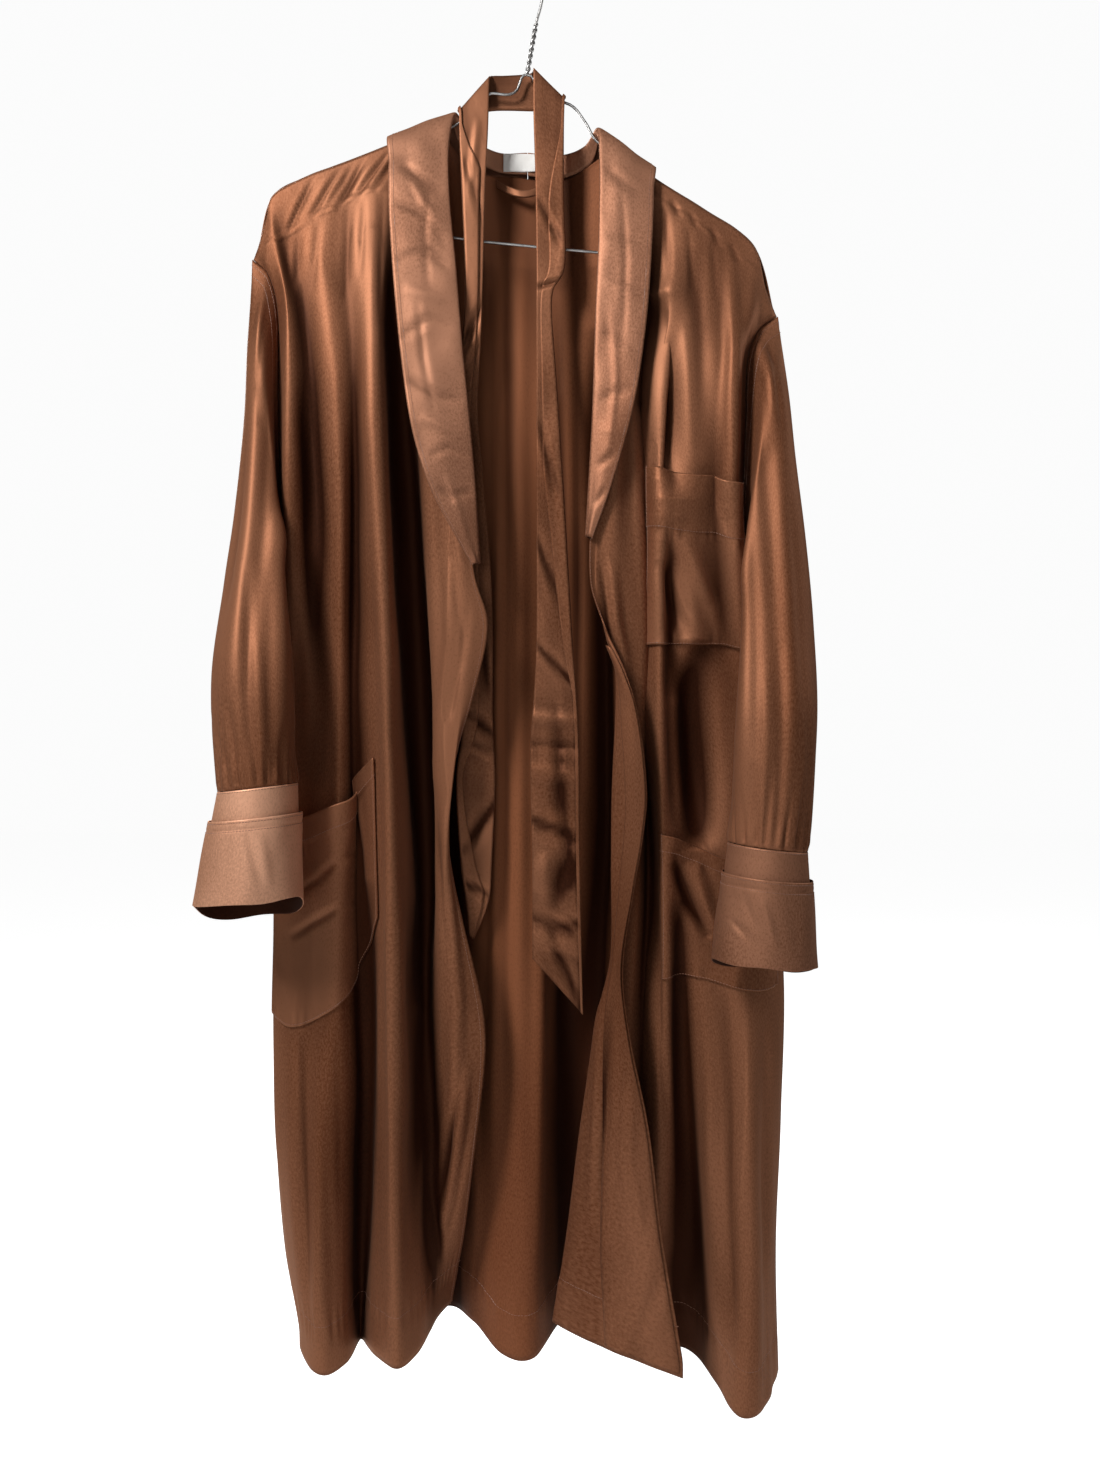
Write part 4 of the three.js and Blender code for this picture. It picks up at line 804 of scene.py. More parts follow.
def sleeve(name, solid, table, cuff, creases, seed, tuck):
    """tuck is how far the underarm lies in against the body, and at what height."""
    side = table["side"]
    clear = np.array([table["out"] * 0.9, 0, 0])

    def on_armhole(turn, z):
        front, behind = side_edge(side, -1, z), side_edge(side, 1, z)
        return np.where((turn <= POINTS_ROUND / 2)[..., None], front, behind) + clear

    tops = np.array([on_armhole(np.array([i]), np.array([float(z)]))[0] for i, z in enumerate(table["top"])])
    ends = cuff_ring(cuff, np.arange(float(POINTS_ROUND)), np.zeros(POINTS_ROUND))

    def line(i, share):
        z, end = tops[i][2], ends[i]
        used = [k for k, level in enumerate(table["levels"]) if level < z - 8]
        depths = [0] + [z - table["levels"][k] for k in used] + [z - end[2]]
        depth = share * (z - end[2])
        x = smooth(depths, [tops[i][0]] + [table["x"][i][k] for k in used] + [end[0]], depth)
        y = smooth(depths, [tops[i][1]] + [table["y"][i][k] for k in used] + [end[1]], depth)
        return np.stack([x, y, z - depth], axis=-1)

    around, down = 112, 190
    turn, share = np.meshgrid(np.arange(around) * POINTS_ROUND / around, np.linspace(0, 1, down))
    shape = turn.shape
    turn, share = turn.ravel(), share.ravel()
    point = round_through(np.stack([line(i, share) for i in range(POINTS_ROUND)]), turn)
    top = round_through(tops, turn)
    missed = on_armhole(turn, top[:, 2]) - top
    grid = point + missed * ((1 - share) ** 6)[:, None]
    depth, height = tuck
    beside = np.clip(np.cos(angle_of(turn) - 0.5), 0, 1) ** 2
    grid[:, 0] -= table["out"] * depth * beside * bump_at(grid[:, 2], height, 24)
    grid = grid.reshape(*shape, 3)
    angle, share = angle_of(turn).reshape(shape), share.reshape(shape)
    normal = grid_normals(grid, closed=True, flip=table["out"] < 0)
    facing = np.clip(-normal[..., 1], 0, 1)
    chance = np.random.default_rng(seed)
    pleats = np.sin(angle * 23 + 1.4 * np.sin(angle * 5 + seed))
    pleats += 0.6 * np.sin(angle * 37 + chance.uniform(0, 6))
    fall = 0.86 + 0.07 * np.sin(angle * 9 + seed)
    gather = 1.3 * pleats * ease(share, fall, 0.985) * (1 - 0.75 * ease(share, 0.985, 1.0))
    still = ease(share, 0, 0.05) * (1 - 0.9 * ease(share, 0.95, 1))
    move = gather + still * (crease_depth(grid, creases) * facing + 0.7 * rumple(grid, 70, seed, 0.2))
    grid = grid + normal * move[..., None]
    piece, outside, _ = shell(name, grid, SLEEVE_SATIN, closed=True, flip=table["out"] < 0)
    finish_cloth(piece, solid)
    return outside


sleeve_right_out = sleeve(
    "sleeve_right_cloth", "sleeve_right", RIGHT_SLEEVE, RIGHT_CUFF, RIGHT_SLEEVE_CREASES, 11, (5.5, -560))
sleeve_left_out = sleeve(
    "sleeve_left_cloth", "sleeve_left", LEFT_SLEEVE, LEFT_CUFF, LEFT_SLEEVE_CREASES, 12, (2.5, -595))


# Cuffs: a straight band takes the gathers, and a deep flared band is turned up over it. The turned band
# is double, topstitched near its upper edge and a little crumpled; the right cuff and its band have painted
# light, a lighter copy of the cuff satin.
RIGHT_CUFF_CREASES = [
    (3, -1.2, [-247.4, -814.1, -256.8, -863.3, -259.3, -884.5]),
    (4, 1.2, [-224.5, -820.9, -216, -871.8]),
    (4, -1.2, [-236.4, -817.5, -222.8, -870.1]),
    (3, -1, [-204.2, -814.1, -200.8, -871.8]),
]
LEFT_CUFF_CREASES = [
    (3, -1.4, [175.1, -895.5, 203.9, -928.6]),
    (4, 1.2, [199.7, -876, 212.4, -922.7]),
    (4, -1.2, [225.1, -874.3, 230.2, -924.4]),
    (3, -1, [182.7, -867.5, 196.3, -905.7]),
]
CUFF_SATIN = satin("copper satin, cuffs", (0.31, 0.14, 0.08), BROWN_DEEP, rumple=0.5, size=24.0, upright=0.8)
# Painted light: a much lighter copy of the cuff satin, for the right cuff and its band, which look brighter
# lit.
LIT_CUFF_SATIN = satin(
    "copper satin, cuff painted lighter", (0.72, 0.38, 0.24), (0.45, 0.21, 0.12),
    rumple=0.5, size=24.0, upright=0.8)


def cuff_layer(name, solid, cuff, start, end, off, seed, crumple, creases=(), cuff_material=CUFF_SATIN):
    """One layer of a cuff, from start to end of the way down; `drop` lets its back hang lower."""
    around, down = 120, 60
    turn, fall = np.meshgrid(np.arange(around) * POINTS_ROUND / around, np.linspace(start, end, down))
    grid = cuff_ring(cuff, turn, fall, off)
    normal = grid_normals(grid, closed=True, flip=cuff["out"] < 0)
    facing = np.clip(-normal[..., 1], 0, 1)
    move = crumple * (0.5 + rumple(grid, 40, seed, 0.6)) + crease_depth(grid, creases) * facing
    sewn_down = 0.7 * crumple * np.exp(-(((fall - start - 0.085) / 0.012) ** 2))
    grid = grid + normal * (np.maximum(move, -0.2) - sewn_down)[..., None]
    behind = ease(-np.sin(angle_of(turn)), -0.3, 0.9)
    grid[..., 2] -= cuff["drop"] * crumple * behind * ease(fall, 0.6, 1.0)
    grid[..., 2] += 1.2 * crumple * rumple(grid, 60, seed + 1) * ease(fall, 0.8, 1.0)
    piece, outside, _ = shell(name, grid, cuff_material, closed=True, flip=cuff["out"] < 0)
    finish_cloth(piece, solid)
    return outside


OVER_BAND = LAP + 0.4
band_right_out = cuff_layer(
    "cuff_band_right_cloth", "cuff_band_right", RIGHT_CUFF, 0.005, 0.97, 0, 21, 0.15,
    cuff_material=LIT_CUFF_SATIN)
band_left_out = cuff_layer(
    "cuff_band_left_cloth", "cuff_band_left", LEFT_CUFF, 0.005, 0.97, 0, 22, 0.15)
cuff_right_out = cuff_layer(
    "cuff_right_cloth", "cuff_right", RIGHT_CUFF, 0.265, 1, OVER_BAND, 23, 0.7,
    RIGHT_CUFF_CREASES, LIT_CUFF_SATIN)
cuff_left_out = cuff_layer(
    "cuff_left_cloth", "cuff_left", LEFT_CUFF, 0.26, 1, OVER_BAND, 24, 0.7, LEFT_CUFF_CREASES)


# Shawl collar: two halves that meet at the centre back, roll over the shoulders and run down
# to the break point. Each is double, so it is crisper than the body and rumples in short patches.
COLLAR_SATIN = satin(
    "copper satin, collar", (0.34, 0.157, 0.092), (0.165, 0.064, 0.033), size=22.0, upright=0.6, rough=0.46)
COLLAR_THICK = 1.4
ROLL = 3.4  # radius of the rolled edge
RIGHT_COLLAR = [
  { "roll": [-0.3, 31, -184], "edge": [-0.3, 45, -246], "front": [0, 1, 0], "stand": 21 },
  { "roll": [-28, 30, -184], "edge": [-36, 44, -243], "front": [-0.1, 1, 0.05], "stand": 18 },
  { "roll": [-54, 18, -175], "edge": [-92, 38, -221], "front": [-0.4, 0.9, 0.4], "stand": 14 },
  { "roll": [-67, -1, -162.5], "edge": [-127, -1, -184], "front": [-0.42, 0, 0.9], "stand": 6 },
  { "roll": [-73, -8, -195], "edge": [-127, -13, -215], "front": [-0.3, -0.9, 0.3], "stand": 6 },
  { "roll": [-72, -13, -246], "edge": [-126, -21, -262], "front": [-0.1, -1, 0.05], "stand": 6 },
  { "roll": [-66, -18, -310], "edge": [-121, -26, -330], "front": [0, -1, 0], "stand": 6 },
  { "roll": [-59, -23, -392], "edge": [-113, -31, -405], "front": [0, -1, 0], "stand": 6 },
  { "roll": [-52, -26, -460], "edge": [-103, -36, -466], "front": [0, -1, 0], "stand": 6 },
  { "roll": [-47, -28, -513], "edge": [-87, -38, -516], "front": [0, -1, 0], "stand": 6 },
  { "roll": [-44, -30, -555], "edge": [-66, -37, -557], "front": [0, -1, 0], "stand": 5 },
  { "roll": [-42, -31, -584], "edge": [-49, -36, -586], "front": [0, -1, 0], "stand": 4 },
]
LEFT_COLLAR = [
  { "roll": [0.3, 31, -184], "edge": [0.3, 45, -246], "front": [0, 1, 0], "stand": 22 },
  { "roll": [30, 30, -187], "edge": [38, 44, -251], "front": [0.1, 1, 0.05], "stand": 22 },
  { "roll": [54, 18, -184], "edge": [88, 36, -240], "front": [0.4, 0.9, 0.4], "stand": 16 },
  { "roll": [66, -1, -177], "edge": [117, -1, -213], "front": [0.6, 0, 0.8], "stand": 6 },
  { "roll": [68, -8, -215], "edge": [117, -13, -240], "front": [0.3, -0.9, 0.3], "stand": 6 },
  { "roll": [67, -14, -282], "edge": [115, -20, -290], "front": [0.1, -1, 0.05], "stand": 6 },
  { "roll": [64, -19, -350], "edge": [110, -26, -358], "front": [0, -1, 0], "stand": 6 },
  { "roll": [61, -24, -436], "edge": [98, -33, -440], "front": [0, -1, 0], "stand": 6 },
  { "roll": [57, -28, -510], "edge": [78, -35, -512], "front": [0, -1, 0], "stand": 5 },
  { "roll": [54, -30, -560], "edge": [60, -35, -562], "front": [0, -1, 0], "stand": 4 },
]
RIGHT_COLLAR_CREASES = [
    (6, -2, [-115.5, -215.2, -79, -242.6]),
    (5, -2, [-121, -251.8, -88.1, -265.5, -73.5, -288.3]),
    (5, 2, [-106.4, -228.9, -79, -279.2]),
    (5, -2.2, [-119.1, -306.6, -88.1, -297.4, -68, -315.7]),
    (6, 2, [-111.8, -333.9, -73.5, -343.1]),
    (5, -2, [-115.5, -379.6, -88.1, -361.3, -64.4, -370.5]),
    (5, -2.4, [-106.4, -416.1, -79, -434.4, -53.4, -434.4]),
    (5, 2, [-97.2, -452.7, -74.4, -461.8, -55.2, -470.9]),
    (4, -2, [-88.1, -489.2, -69.8, -480.1, -49.7, -489.2]),
    (5, -2, [-79, -516.6, -65.3, -525.7, -47.9, -516.6]),
    (4, 1.6, [-73.5, -498.3, -58.9, -544, -47.9, -571.4]),
    (4, -1.6, [-99.1, -343.1, -93.6, -397.9, -82.6, -452.7]),
    (4, -1.4, [-88.1, -233.5, -93.6, -279.2, -89.9, -333.9]),
    (4, -1.6, [-64.4, -534.9, -53.4, -553.1, -46.1, -580.5]),
]
LEFT_COLLAR_CREASES = [
    (6, -1.6, [72.6, -215.2, 103.7, -242.6]),
    (5, -1.6, [70.8, -279.2, 109.2, -288.3]),
    (5, 1.6, [70.8, -324.8, 107.4, -343.1]),
    (5, -1.8, [69, -370.5, 103.7, -388.7]),
    (5, -1.8, [65.3, -434.4, 98.2, -425.3]),
    (4, 1.6, [67.2, -461.8, 92.7, -470.9]),
    (4, -1.8, [63.5, -498.3, 81.8, -484.6]),
    (4, -1.6, [59.9, -534.9, 72.6, -516.6]),
    (4, -1.2, [87.3, -224.4, 90.9, -306.6, 87.3, -397.9]),
    (4, 1.2, [78.1, -343.1, 81.8, -416.1, 74.5, -489.2]),
]


def collar_section(roll, edge, front, stand):
    """Six points across the collar, from the foot of its stand over the roll to its outer edge."""
    fold, outer, facing = (np.array(part, float) for part in (roll, edge, front))
    facing /= np.linalg.norm(facing)
    inward = outer - fold
    inward -= facing * (inward @ facing)
    inward /= np.linalg.norm(inward)
    middle = (fold + outer) / 2 + facing * ROLL * 0.7
    return [
        fold + inward * stand - facing * ROLL,
        fold + inward * 2.4 - facing * ROLL * 0.9,
        fold,
        fold + inward * 2.4 + facing * ROLL * 0.9,
        middle,
        outer,
    ]


def collar(name, solid, stations, creases, seed, flip):
    sections = np.array([collar_section(**station) for station in stations])
    along = np.linspace(0, len(stations) - 1, (len(stations) - 1) * 18)
    lines = smooth(range(len(stations)), sections.reshape(len(stations), -1), along).reshape(-1, 6, 3)
    across = np.concatenate([np.linspace(0, 1, 6)[:-1], np.linspace(1, 3, 17)[:-1], np.linspace(3, 5, 24)])
    by_point = lines.transpose(1, 0, 2).reshape(6, -1)
    grid = smooth(range(6), by_point, across).reshape(len(across), -1, 3).transpose(1, 0, 2)
    normal = grid_normals(grid, flip=flip)
    leaf = ease(across, 2.6, 3.4)[None, :]
    lifted = ease(across, 3, 4.2)[None, :] * 0.9
    move = leaf * (0.6 * crease_depth(grid, creases) + 0.55 * rumple(grid, 40, seed, 0.6)) + lifted
    grid = grid + normal * move[..., None]
    piece, outside, _ = shell(name, grid, COLLAR_SATIN, thick=COLLAR_THICK, flip=flip, lining=COLLAR_SATIN)
    finish_cloth(piece, solid)
    return outside


collar_right_out = collar(
    "collar_right_cloth", "collar_right", RIGHT_COLLAR, RIGHT_COLLAR_CREASES, 31, True)
collar_left_out = collar(
    "collar_left_cloth", "collar_left", LEFT_COLLAR, LEFT_COLLAR_CREASES, 32, False)


# Belt: one long strip of satin slung over the hanger behind its neck, with pointed ends.
# Its upper strands are doubled over lengthwise, and old fold marks cross the tails.
BELT = [
  { "one": [-50, 4, -932], "other": [-54, 4, -928] },
  { "one": [-36, 4, -896], "other": [-57, 4, -896] },
  { "one": [-33, 4, -857], "other": [-62, 4, -857] },
  { "one": [-30, 4, -783], "other": [-66, 4, -783] },
  { "one": [-32, 4, -726], "other": [-60, 4, -726] },
  { "one": [-33, 2, -605], "other": [-60, 0, -605] },
  { "one": [-41, 0, -500], "other": [-66, 0, -500] },
  { "one": [-46, -2, -440], "other": [-70, -2, -440] },
  { "one": [-43, -4, -376], "other": [-60, -4, -376] },
  { "one": [-41, -5, -320], "other": [-57, -5, -320] },
  { "one": [-39, -5, -240], "other": [-60, -5, -240] },
  { "one": [-36, -5, -175], "other": [-62, -5, -195] },
  { "one": [-35, -2, -131], "other": [-62.5, -3.4, -163] },
  { "one": [-34, 1.5, -125.5], "other": [-62.5, 0.5, -157] },
  { "one": [-32, 6, -122], "other": [-60, 5.4, -158] },
  { "one": [-22, 8, -121], "other": [-30, 8, -153] },
  { "one": [-4, 8, -120], "other": [10, 8, -153] },
  { "one": [4, 6, -119.5], "other": [29, 6, -150] },
  { "one": [6, 1.5, -119], "other": [34, 1.5, -147] },
  { "one": [6, -3, -123], "other": [34.5, -3, -151] },
  { "one": [6, -5, -160], "other": [34, -5, -185] },
  { "one": [8, -5, -230], "other": [34, -5, -240] },
  { "one": [9, -5, -310], "other": [35, -5, -305] },
  { "one": [9, -5, -345], "other": [23, -5, -335] },
  { "one": [9, -4, -420], "other": [28, -4, -420] },
  { "one": [9, -2, -530], "other": [35, -2, -530] },
  { "one": [9, 0, -650], "other": [42, 0, -650] },
  { "one": [6, 0, -710], "other": [46, 0, -710] },
  { "one": [3, 0, -760], "other": [48, 0, -760] },
  { "one": [5, 0, -860], "other": [49, 0, -860] },
  { "one": [5, 0, -949], "other": [52, 0, -1001] },
]
BELT_CREASES = [
    (6, -4, [-60.7, -712.4, -28, -746.9]),
    (5, 3, [-60.7, -749.7, -28.9, -763.7]),
    (6, -4, [-30.8, -799.2, -58.8, -853.4]),
    (5, -3, [-45.7, -623.7, -38.3, -707.7]),
    (5, -3, [-58.8, -875.8, -34.5, -894.4]),
    (4, -3, [-40.1, -334.3, -58.8, -381]),
    (4, 2, [-42, -362.3, -60.7, -399.6]),
    (8, 4, [1, -722.7, 55.1, -728.3]),
    (7, -4, [-0.9, -748.8, 58.8, -752.5]),
    (9, 4, [1, -773.1, 55.1, -780.5]),
    (8, -4, [-2.8, -812.3, 40.2, -836.6, 60.7, -834.7]),
    (8, 4, [19.6, -847.8, 12.2, -885.1]),
    (9, -3, [36.4, -853.4, 27.1, -905.6]),
    (8, -4, [-2.8, -909.4, 30.8, -920.6, 60.7, -911.2]),
    (7, 3, [2.8, -933.7, 55.1, -939.3]),
    (4, -2.5, [8.4, -549, 34.6, -633]),
    (4, -2.5, [12.2, -446.3, 27.1, -521]),
    (4, -2.5, [8.4, -651.7, 43.9, -698.4]),
    (5, -2.5, [21.5, -922.5, 44.8, -987.8]),
    (4, -2.4, [10.3, -240.9, 32.7, -287.6]),
    (3, -3, [8.4, -324.9, 32.7, -318.4]),
    (4, -2, [-56.9, -203.6, -40.1, -268.9]),
    (4, 2, [-45.7, -166.2, -53.2, -240.9]),
    (5, -2.4, [27.1, -707.7, 30.8, -801.1, 42, -894.4]),
]
BELT_WIDTH = 42
BELT_NECK = 15  # the row of BELT that lies behind the hanger's neck
BELT_SATIN = satin("copper satin, belt", BROWN_LIGHT, BROWN_DEEP, rumple=0.7, size=30.0, upright=0.7)


def belt():
    one = np.array([row["one"] for row in BELT], float)
    other = np.array([row["other"] for row in BELT], float)
    at = np.linspace(0, len(BELT) - 1, (len(BELT) - 1) * 16)
    one, other = (smooth(range(len(BELT)), edge, at) for edge in (one, other))
    shown = np.linalg.norm(one - other, axis=1)
    hidden = np.clip(BELT_WIDTH - shown, 3, 0.75 * shown)
    middle = (one + other) / 2
    run = np.gradient(middle, axis=0)
    front = np.cross(run, other - one)
    front /= np.linalg.norm(front, axis=1)[:, None]
    across = np.concatenate([np.linspace(-1, -0.06, 8), np.linspace(0, 1, 18)])
    share = np.where(across < 0, -across * (hidden / shown)[:, None], across)
    doubled_back = np.clip(0.5 - across * 16, 0, 1) * 2.2
    flat = other[:, None] + (one - other)[:, None] * share[..., None]
    grid = flat + front[:, None] * doubled_back[None, :, None]
    move = crease_depth(grid, BELT_CREASES) + 0.6 * rumple(grid, 38, 41, 0.5)
    away = np.minimum(np.abs(at - BELT_NECK) / 5, 1)
    grid[..., 1] -= move * away[:, None]
    # Painted shade: the stretch behind the hanger's neck is darkened in colour, as though it lay in shadow.
    shaded = 0.35 * bump_at(at, BELT_NECK, 2.0)[:, None]
    piece, _, _ = shell("belt_cloth", grid, BELT_SATIN, flip=True, lining=BELT_SATIN, shade=shaded)
    finish_cloth(piece, "belt")


belt()


# Hanging loop: a narrow strip of the satin folded in three, sewn in at both ends under the collar's
# stand. It hangs in a shallow curve.
LOOP = {"wide": 7, "left": -29, "right": 23, "top": -211, "drop": 13, "depth": 26, "sag": 8, "thick": 1.4}

along, across = np.meshgrid(np.linspace(0, 1, 60), np.linspace(0, 1, 6), indexing="ij")
swing = np.sin(np.pi * along)
loop_grid = np.stack([
    LOOP["left"] + (LOOP["right"] - LOOP["left"]) * along,
    LOOP["depth"] - LOOP["sag"] * swing + 1.2 * np.sin(9 * along) * swing * (across - 0.5),
    LOOP["top"] - LOOP["drop"] * swing - LOOP["wide"] * across,
], axis=-1)
loop_cloth, _, _ = shell("hanging_loop_cloth", loop_grid, BODY_SATIN, thick=LOOP["thick"], flip=True)
finish_cloth(loop_cloth, "hanging_loop")


# Neck label: a small white tab of ribbed weave, sewn to the collar's stand at the centre back.
# It is left bare.
LABEL = {"wide": 46, "high": 17, "top": -186, "depth": 26, "thick": 0.7}

LABEL_WEAVE, tree, skin = new_material("white woven label")
set_inputs(skin, {"Roughness": 0.75, "Sheen Weight": 0.2})
place = add_node(tree, "ShaderNodeUVMap", uv_map="cloth")
ribs = add_node(
    tree, "ShaderNodeTexWave", Scale=420.0, Distortion=1.5, Detail=2.0, wave_type="BANDS", bands_direction="Y")
tree.links.new(place.outputs["UV"], ribs.inputs["Vector"])
white = two_tone(tree, ribs.outputs["Fac"], (0.72, 0.7, 0.66), (0.88, 0.87, 0.84))
tree.links.new(white, skin.inputs["Base Color"])
raised = add_node(tree, "ShaderNodeBump", Strength=0.6, Distance=0.15 * MM)
tree.links.new(ribs.outputs["Fac"], raised.inputs["Height"])
tree.links.new(raised.outputs["Normal"], skin.inputs["Normal"])

along, down = np.meshgrid(np.linspace(-0.5, 0.5, 40), np.linspace(0, 1, 16), indexing="ij")
bowed = 0.8 * np.sin(np.pi * down) * np.sin(np.pi * (along + 0.5))
label_grid = np.stack([
    LABEL["wide"] * along,
    LABEL["depth"] - 2 * along**2 - bowed + 0.3 * np.sin(14 * along + 3 * down),
    LABEL["top"] - LABEL["high"] * down,
], axis=-1)
label_cloth, _, _ = shell(
    "label_cloth", label_grid, LABEL_WEAVE, thick=LABEL["thick"], flip=True, lining=LABEL_WEAVE)
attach(label_cloth, "root")
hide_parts("label")


# Hanger: one length of galvanised wire, bent round the shoulders and the bar, twisted up the neck,
# and left open at the hook.
WIRE = 2.5
SHOULDERS = [(-12, -141), (-38, -143), (-52, -157), (-66, -171), (-84, -176.5), (-132, -194.5),
    (-178, -212.5), (-218, -229), (-227, -236), (-225, -245), (-214, -250), (-64, -277), (0, -284),
    (66, -290), (196, -299), (205, -295), (205, -285), (196, -274.5), (172, -258), (124, -228.5),
    (86, -200.5), (65, -186), (54, -168), (40, -152), (14, -147)]

NECK = {"foot": -125, "high": 48, "lean": 8.4, "turns": 4, "spread": 0.45}
HOOK = {"x": -4.7, "z": -25, "inside": 24}

STEEL, tree, skin = new_material("galvanised wire")
set_inputs(skin, {"Metallic": 1.0})
place = add_node(tree, "ShaderNodeTexCoord")
drawn = add_node(tree, "ShaderNodeTexNoise", Scale=900.0, Detail=3.0)
dull = add_node(tree, "ShaderNodeTexNoise", Scale=45.0, Detail=3.0)
tree.links.new(place.outputs["Object"], drawn.inputs["Vector"])
tree.links.new(place.outputs["Object"], dull.inputs["Vector"])
zinc = two_tone(tree, dull.outputs["Fac"], (0.3, 0.29, 0.28), (0.62, 0.61, 0.6), low=0.35, high=0.65)
tree.links.new(zinc, skin.inputs["Base Color"])
grain = add_node(tree, "ShaderNodeMapRange")
set_inputs(grain, {"To Min": 0.22, "To Max": 0.5})
tree.links.new(drawn.outputs["Fac"], grain.inputs["Value"])
tree.links.new(grain.outputs["Result"], skin.inputs["Roughness"])
scored = add_node(tree, "ShaderNodeBump", Strength=0.12, Distance=0.05 * MM)
tree.links.new(drawn.outputs["Fac"], scored.inputs["Height"])
tree.links.new(scored.outputs["Normal"], skin.inputs["Normal"])


def bent_wire(lengths):
    """One mesh of round wire through rows of points; each row says whether it closes on itself."""
    curve = bpy.data.curves.new("hanger_wire", "CURVE")
    curve.dimensions = "3D"
    curve.bevel_depth = WIRE / 2 * MM
    curve.bevel_resolution = 3
    curve.resolution_u = 6
    curve.use_fill_caps = True
    for points, closed in lengths:
        spline = curve.splines.new("BEZIER")
        spline.bezier_points.add(len(points) - 1)
        spline.use_cyclic_u = closed
        for knot, point in zip(spline.bezier_points, points):
            knot.co = [value * MM for value in point]
            knot.handle_left_type = knot.handle_right_type = "AUTO"
    bare = bpy.data.objects.new("hanger_curve", curve)
    bpy.context.scene.collection.objects.link(bare)
    mesh = bpy.data.meshes.new_from_object(bare.evaluated_get(bpy.context.evaluated_depsgraph_get()))
    bpy.data.objects.remove(bare)
    mesh.materials.clear()
    mesh.materials.append(STEEL)
    piece = bpy.data.objects.new("wire_hanger", mesh)
    bpy.context.scene.collection.objects.link(piece)
    return piece


frame_loop = [(0, 0, -124)] + [(x, 0, z) for x, z in SHOULDERS]
share = np.linspace(0, 1, 33)
twist = []
for phase in (0, math.pi):
    turned = phase + share * NECK["turns"] * 2 * math.pi
    x = NECK["lean"] * share + np.cos(turned) * WIRE * NECK["spread"]
    y = np.sin(turned) * WIRE * NECK["spread"]
    twist.append(np.stack([x, y, NECK["foot"] + NECK["high"] * share], axis=1))
bend = np.linspace(-0.5, math.pi * 1.05, 14)
radius = HOOK["inside"] + WIRE / 2
hook = [(7.5, 0, -82), (8.4, 0, -77), (13, 0, -60)]
hook += [(HOOK["x"] + math.cos(a) * radius, 0, HOOK["z"] + math.sin(a) * radius) for a in bend]
hanger_wire = bent_wire([(frame_loop, True), (twist[0], False), (twist[1], False), (hook, False)])
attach(hanger_wire, "root")
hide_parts("hanger")


# Stitches: short lengths of matching thread, laid along seams, hems, bands and the pockets' sides.
# Each row follows a line of the cloth beneath it.
THREAD, tree, skin = new_material("sewing thread")
set_inputs(skin, {"Roughness": 0.45, "Sheen Weight": 0.3})
place = add_node(tree, "ShaderNodeTexCoord")
ply = add_node(tree, "ShaderNodeTexNoise", Scale=1500.0, Detail=2.0)
tree.links.new(place.outputs["Object"], ply.inputs["Vector"])
twine = two_tone(tree, ply.outputs["Fac"], (0.16, 0.06, 0.032), (0.3, 0.13, 0.07))
tree.links.new(twine, skin.inputs["Base Color"])
TOPSTITCH = 2.8  # pitch of the rows that hold bands, edges and patches
THREAD_RADIUS = 0.28
STITCH_SHARE = 0.72  # of its pitch, that a stitch fills


def stitch_tree():
    tree = bpy.data.node_groups.new("row of stitches", "GeometryNodeTree")
    tree.interface.new_socket(name="Geometry", in_out="INPUT", socket_type="NodeSocketGeometry")
    for label, value in (("Pitch", 0.003), ("Length", 0.0022), ("Thread", 0.0003)):
        socket = tree.interface.new_socket(name=label, in_out="INPUT", socket_type="NodeSocketFloat")
        socket.default_value = value
    tree.interface.new_socket(name="Material", in_out="INPUT", socket_type="NodeSocketMaterial")
    tree.interface.new_socket(name="Geometry", in_out="OUTPUT", socket_type="NodeSocketGeometry")
    given, out = tree.nodes.new("NodeGroupInput"), tree.nodes.new("NodeGroupOutput")
    path = tree.nodes.new("GeometryNodeMeshToCurve")
    points = tree.nodes.new("GeometryNodeCurveToPoints")
    points.mode = "LENGTH"
    turn = tree.nodes.new("FunctionNodeAlignRotationToVector")
    turn.axis = "Z"
    thread = tree.nodes.new("GeometryNodeMeshCylinder")
    thread.inputs["Vertices"].default_value = 5
    place = tree.nodes.new("GeometryNodeInstanceOnPoints")
    real = tree.nodes.new("GeometryNodeRealizeInstances")
    paint = tree.nodes.new("GeometryNodeSetMaterial")
    link = tree.links.new
    link(given.outputs["Geometry"], path.inputs["Mesh"])
    link(path.outputs["Curve"], points.inputs["Curve"])
    link(given.outputs["Pitch"], points.inputs["Length"])
    link(points.outputs["Tangent"], turn.inputs["Vector"])
    link(given.outputs["Length"], thread.inputs["Depth"])
    link(given.outputs["Thread"], thread.inputs["Radius"])
    link(points.outputs["Points"], place.inputs["Points"])
    link(thread.outputs["Mesh"], place.inputs["Instance"])
    link(turn.outputs["Rotation"], place.inputs["Rotation"])
    link(place.outputs["Instances"], real.inputs["Geometry"])
    link(real.outputs["Geometry"], paint.inputs["Geometry"])
    link(given.outputs["Material"], paint.inputs["Material"])
    link(paint.outputs["Geometry"], out.inputs["Geometry"])
    return tree


STITCHES = stitch_tree()


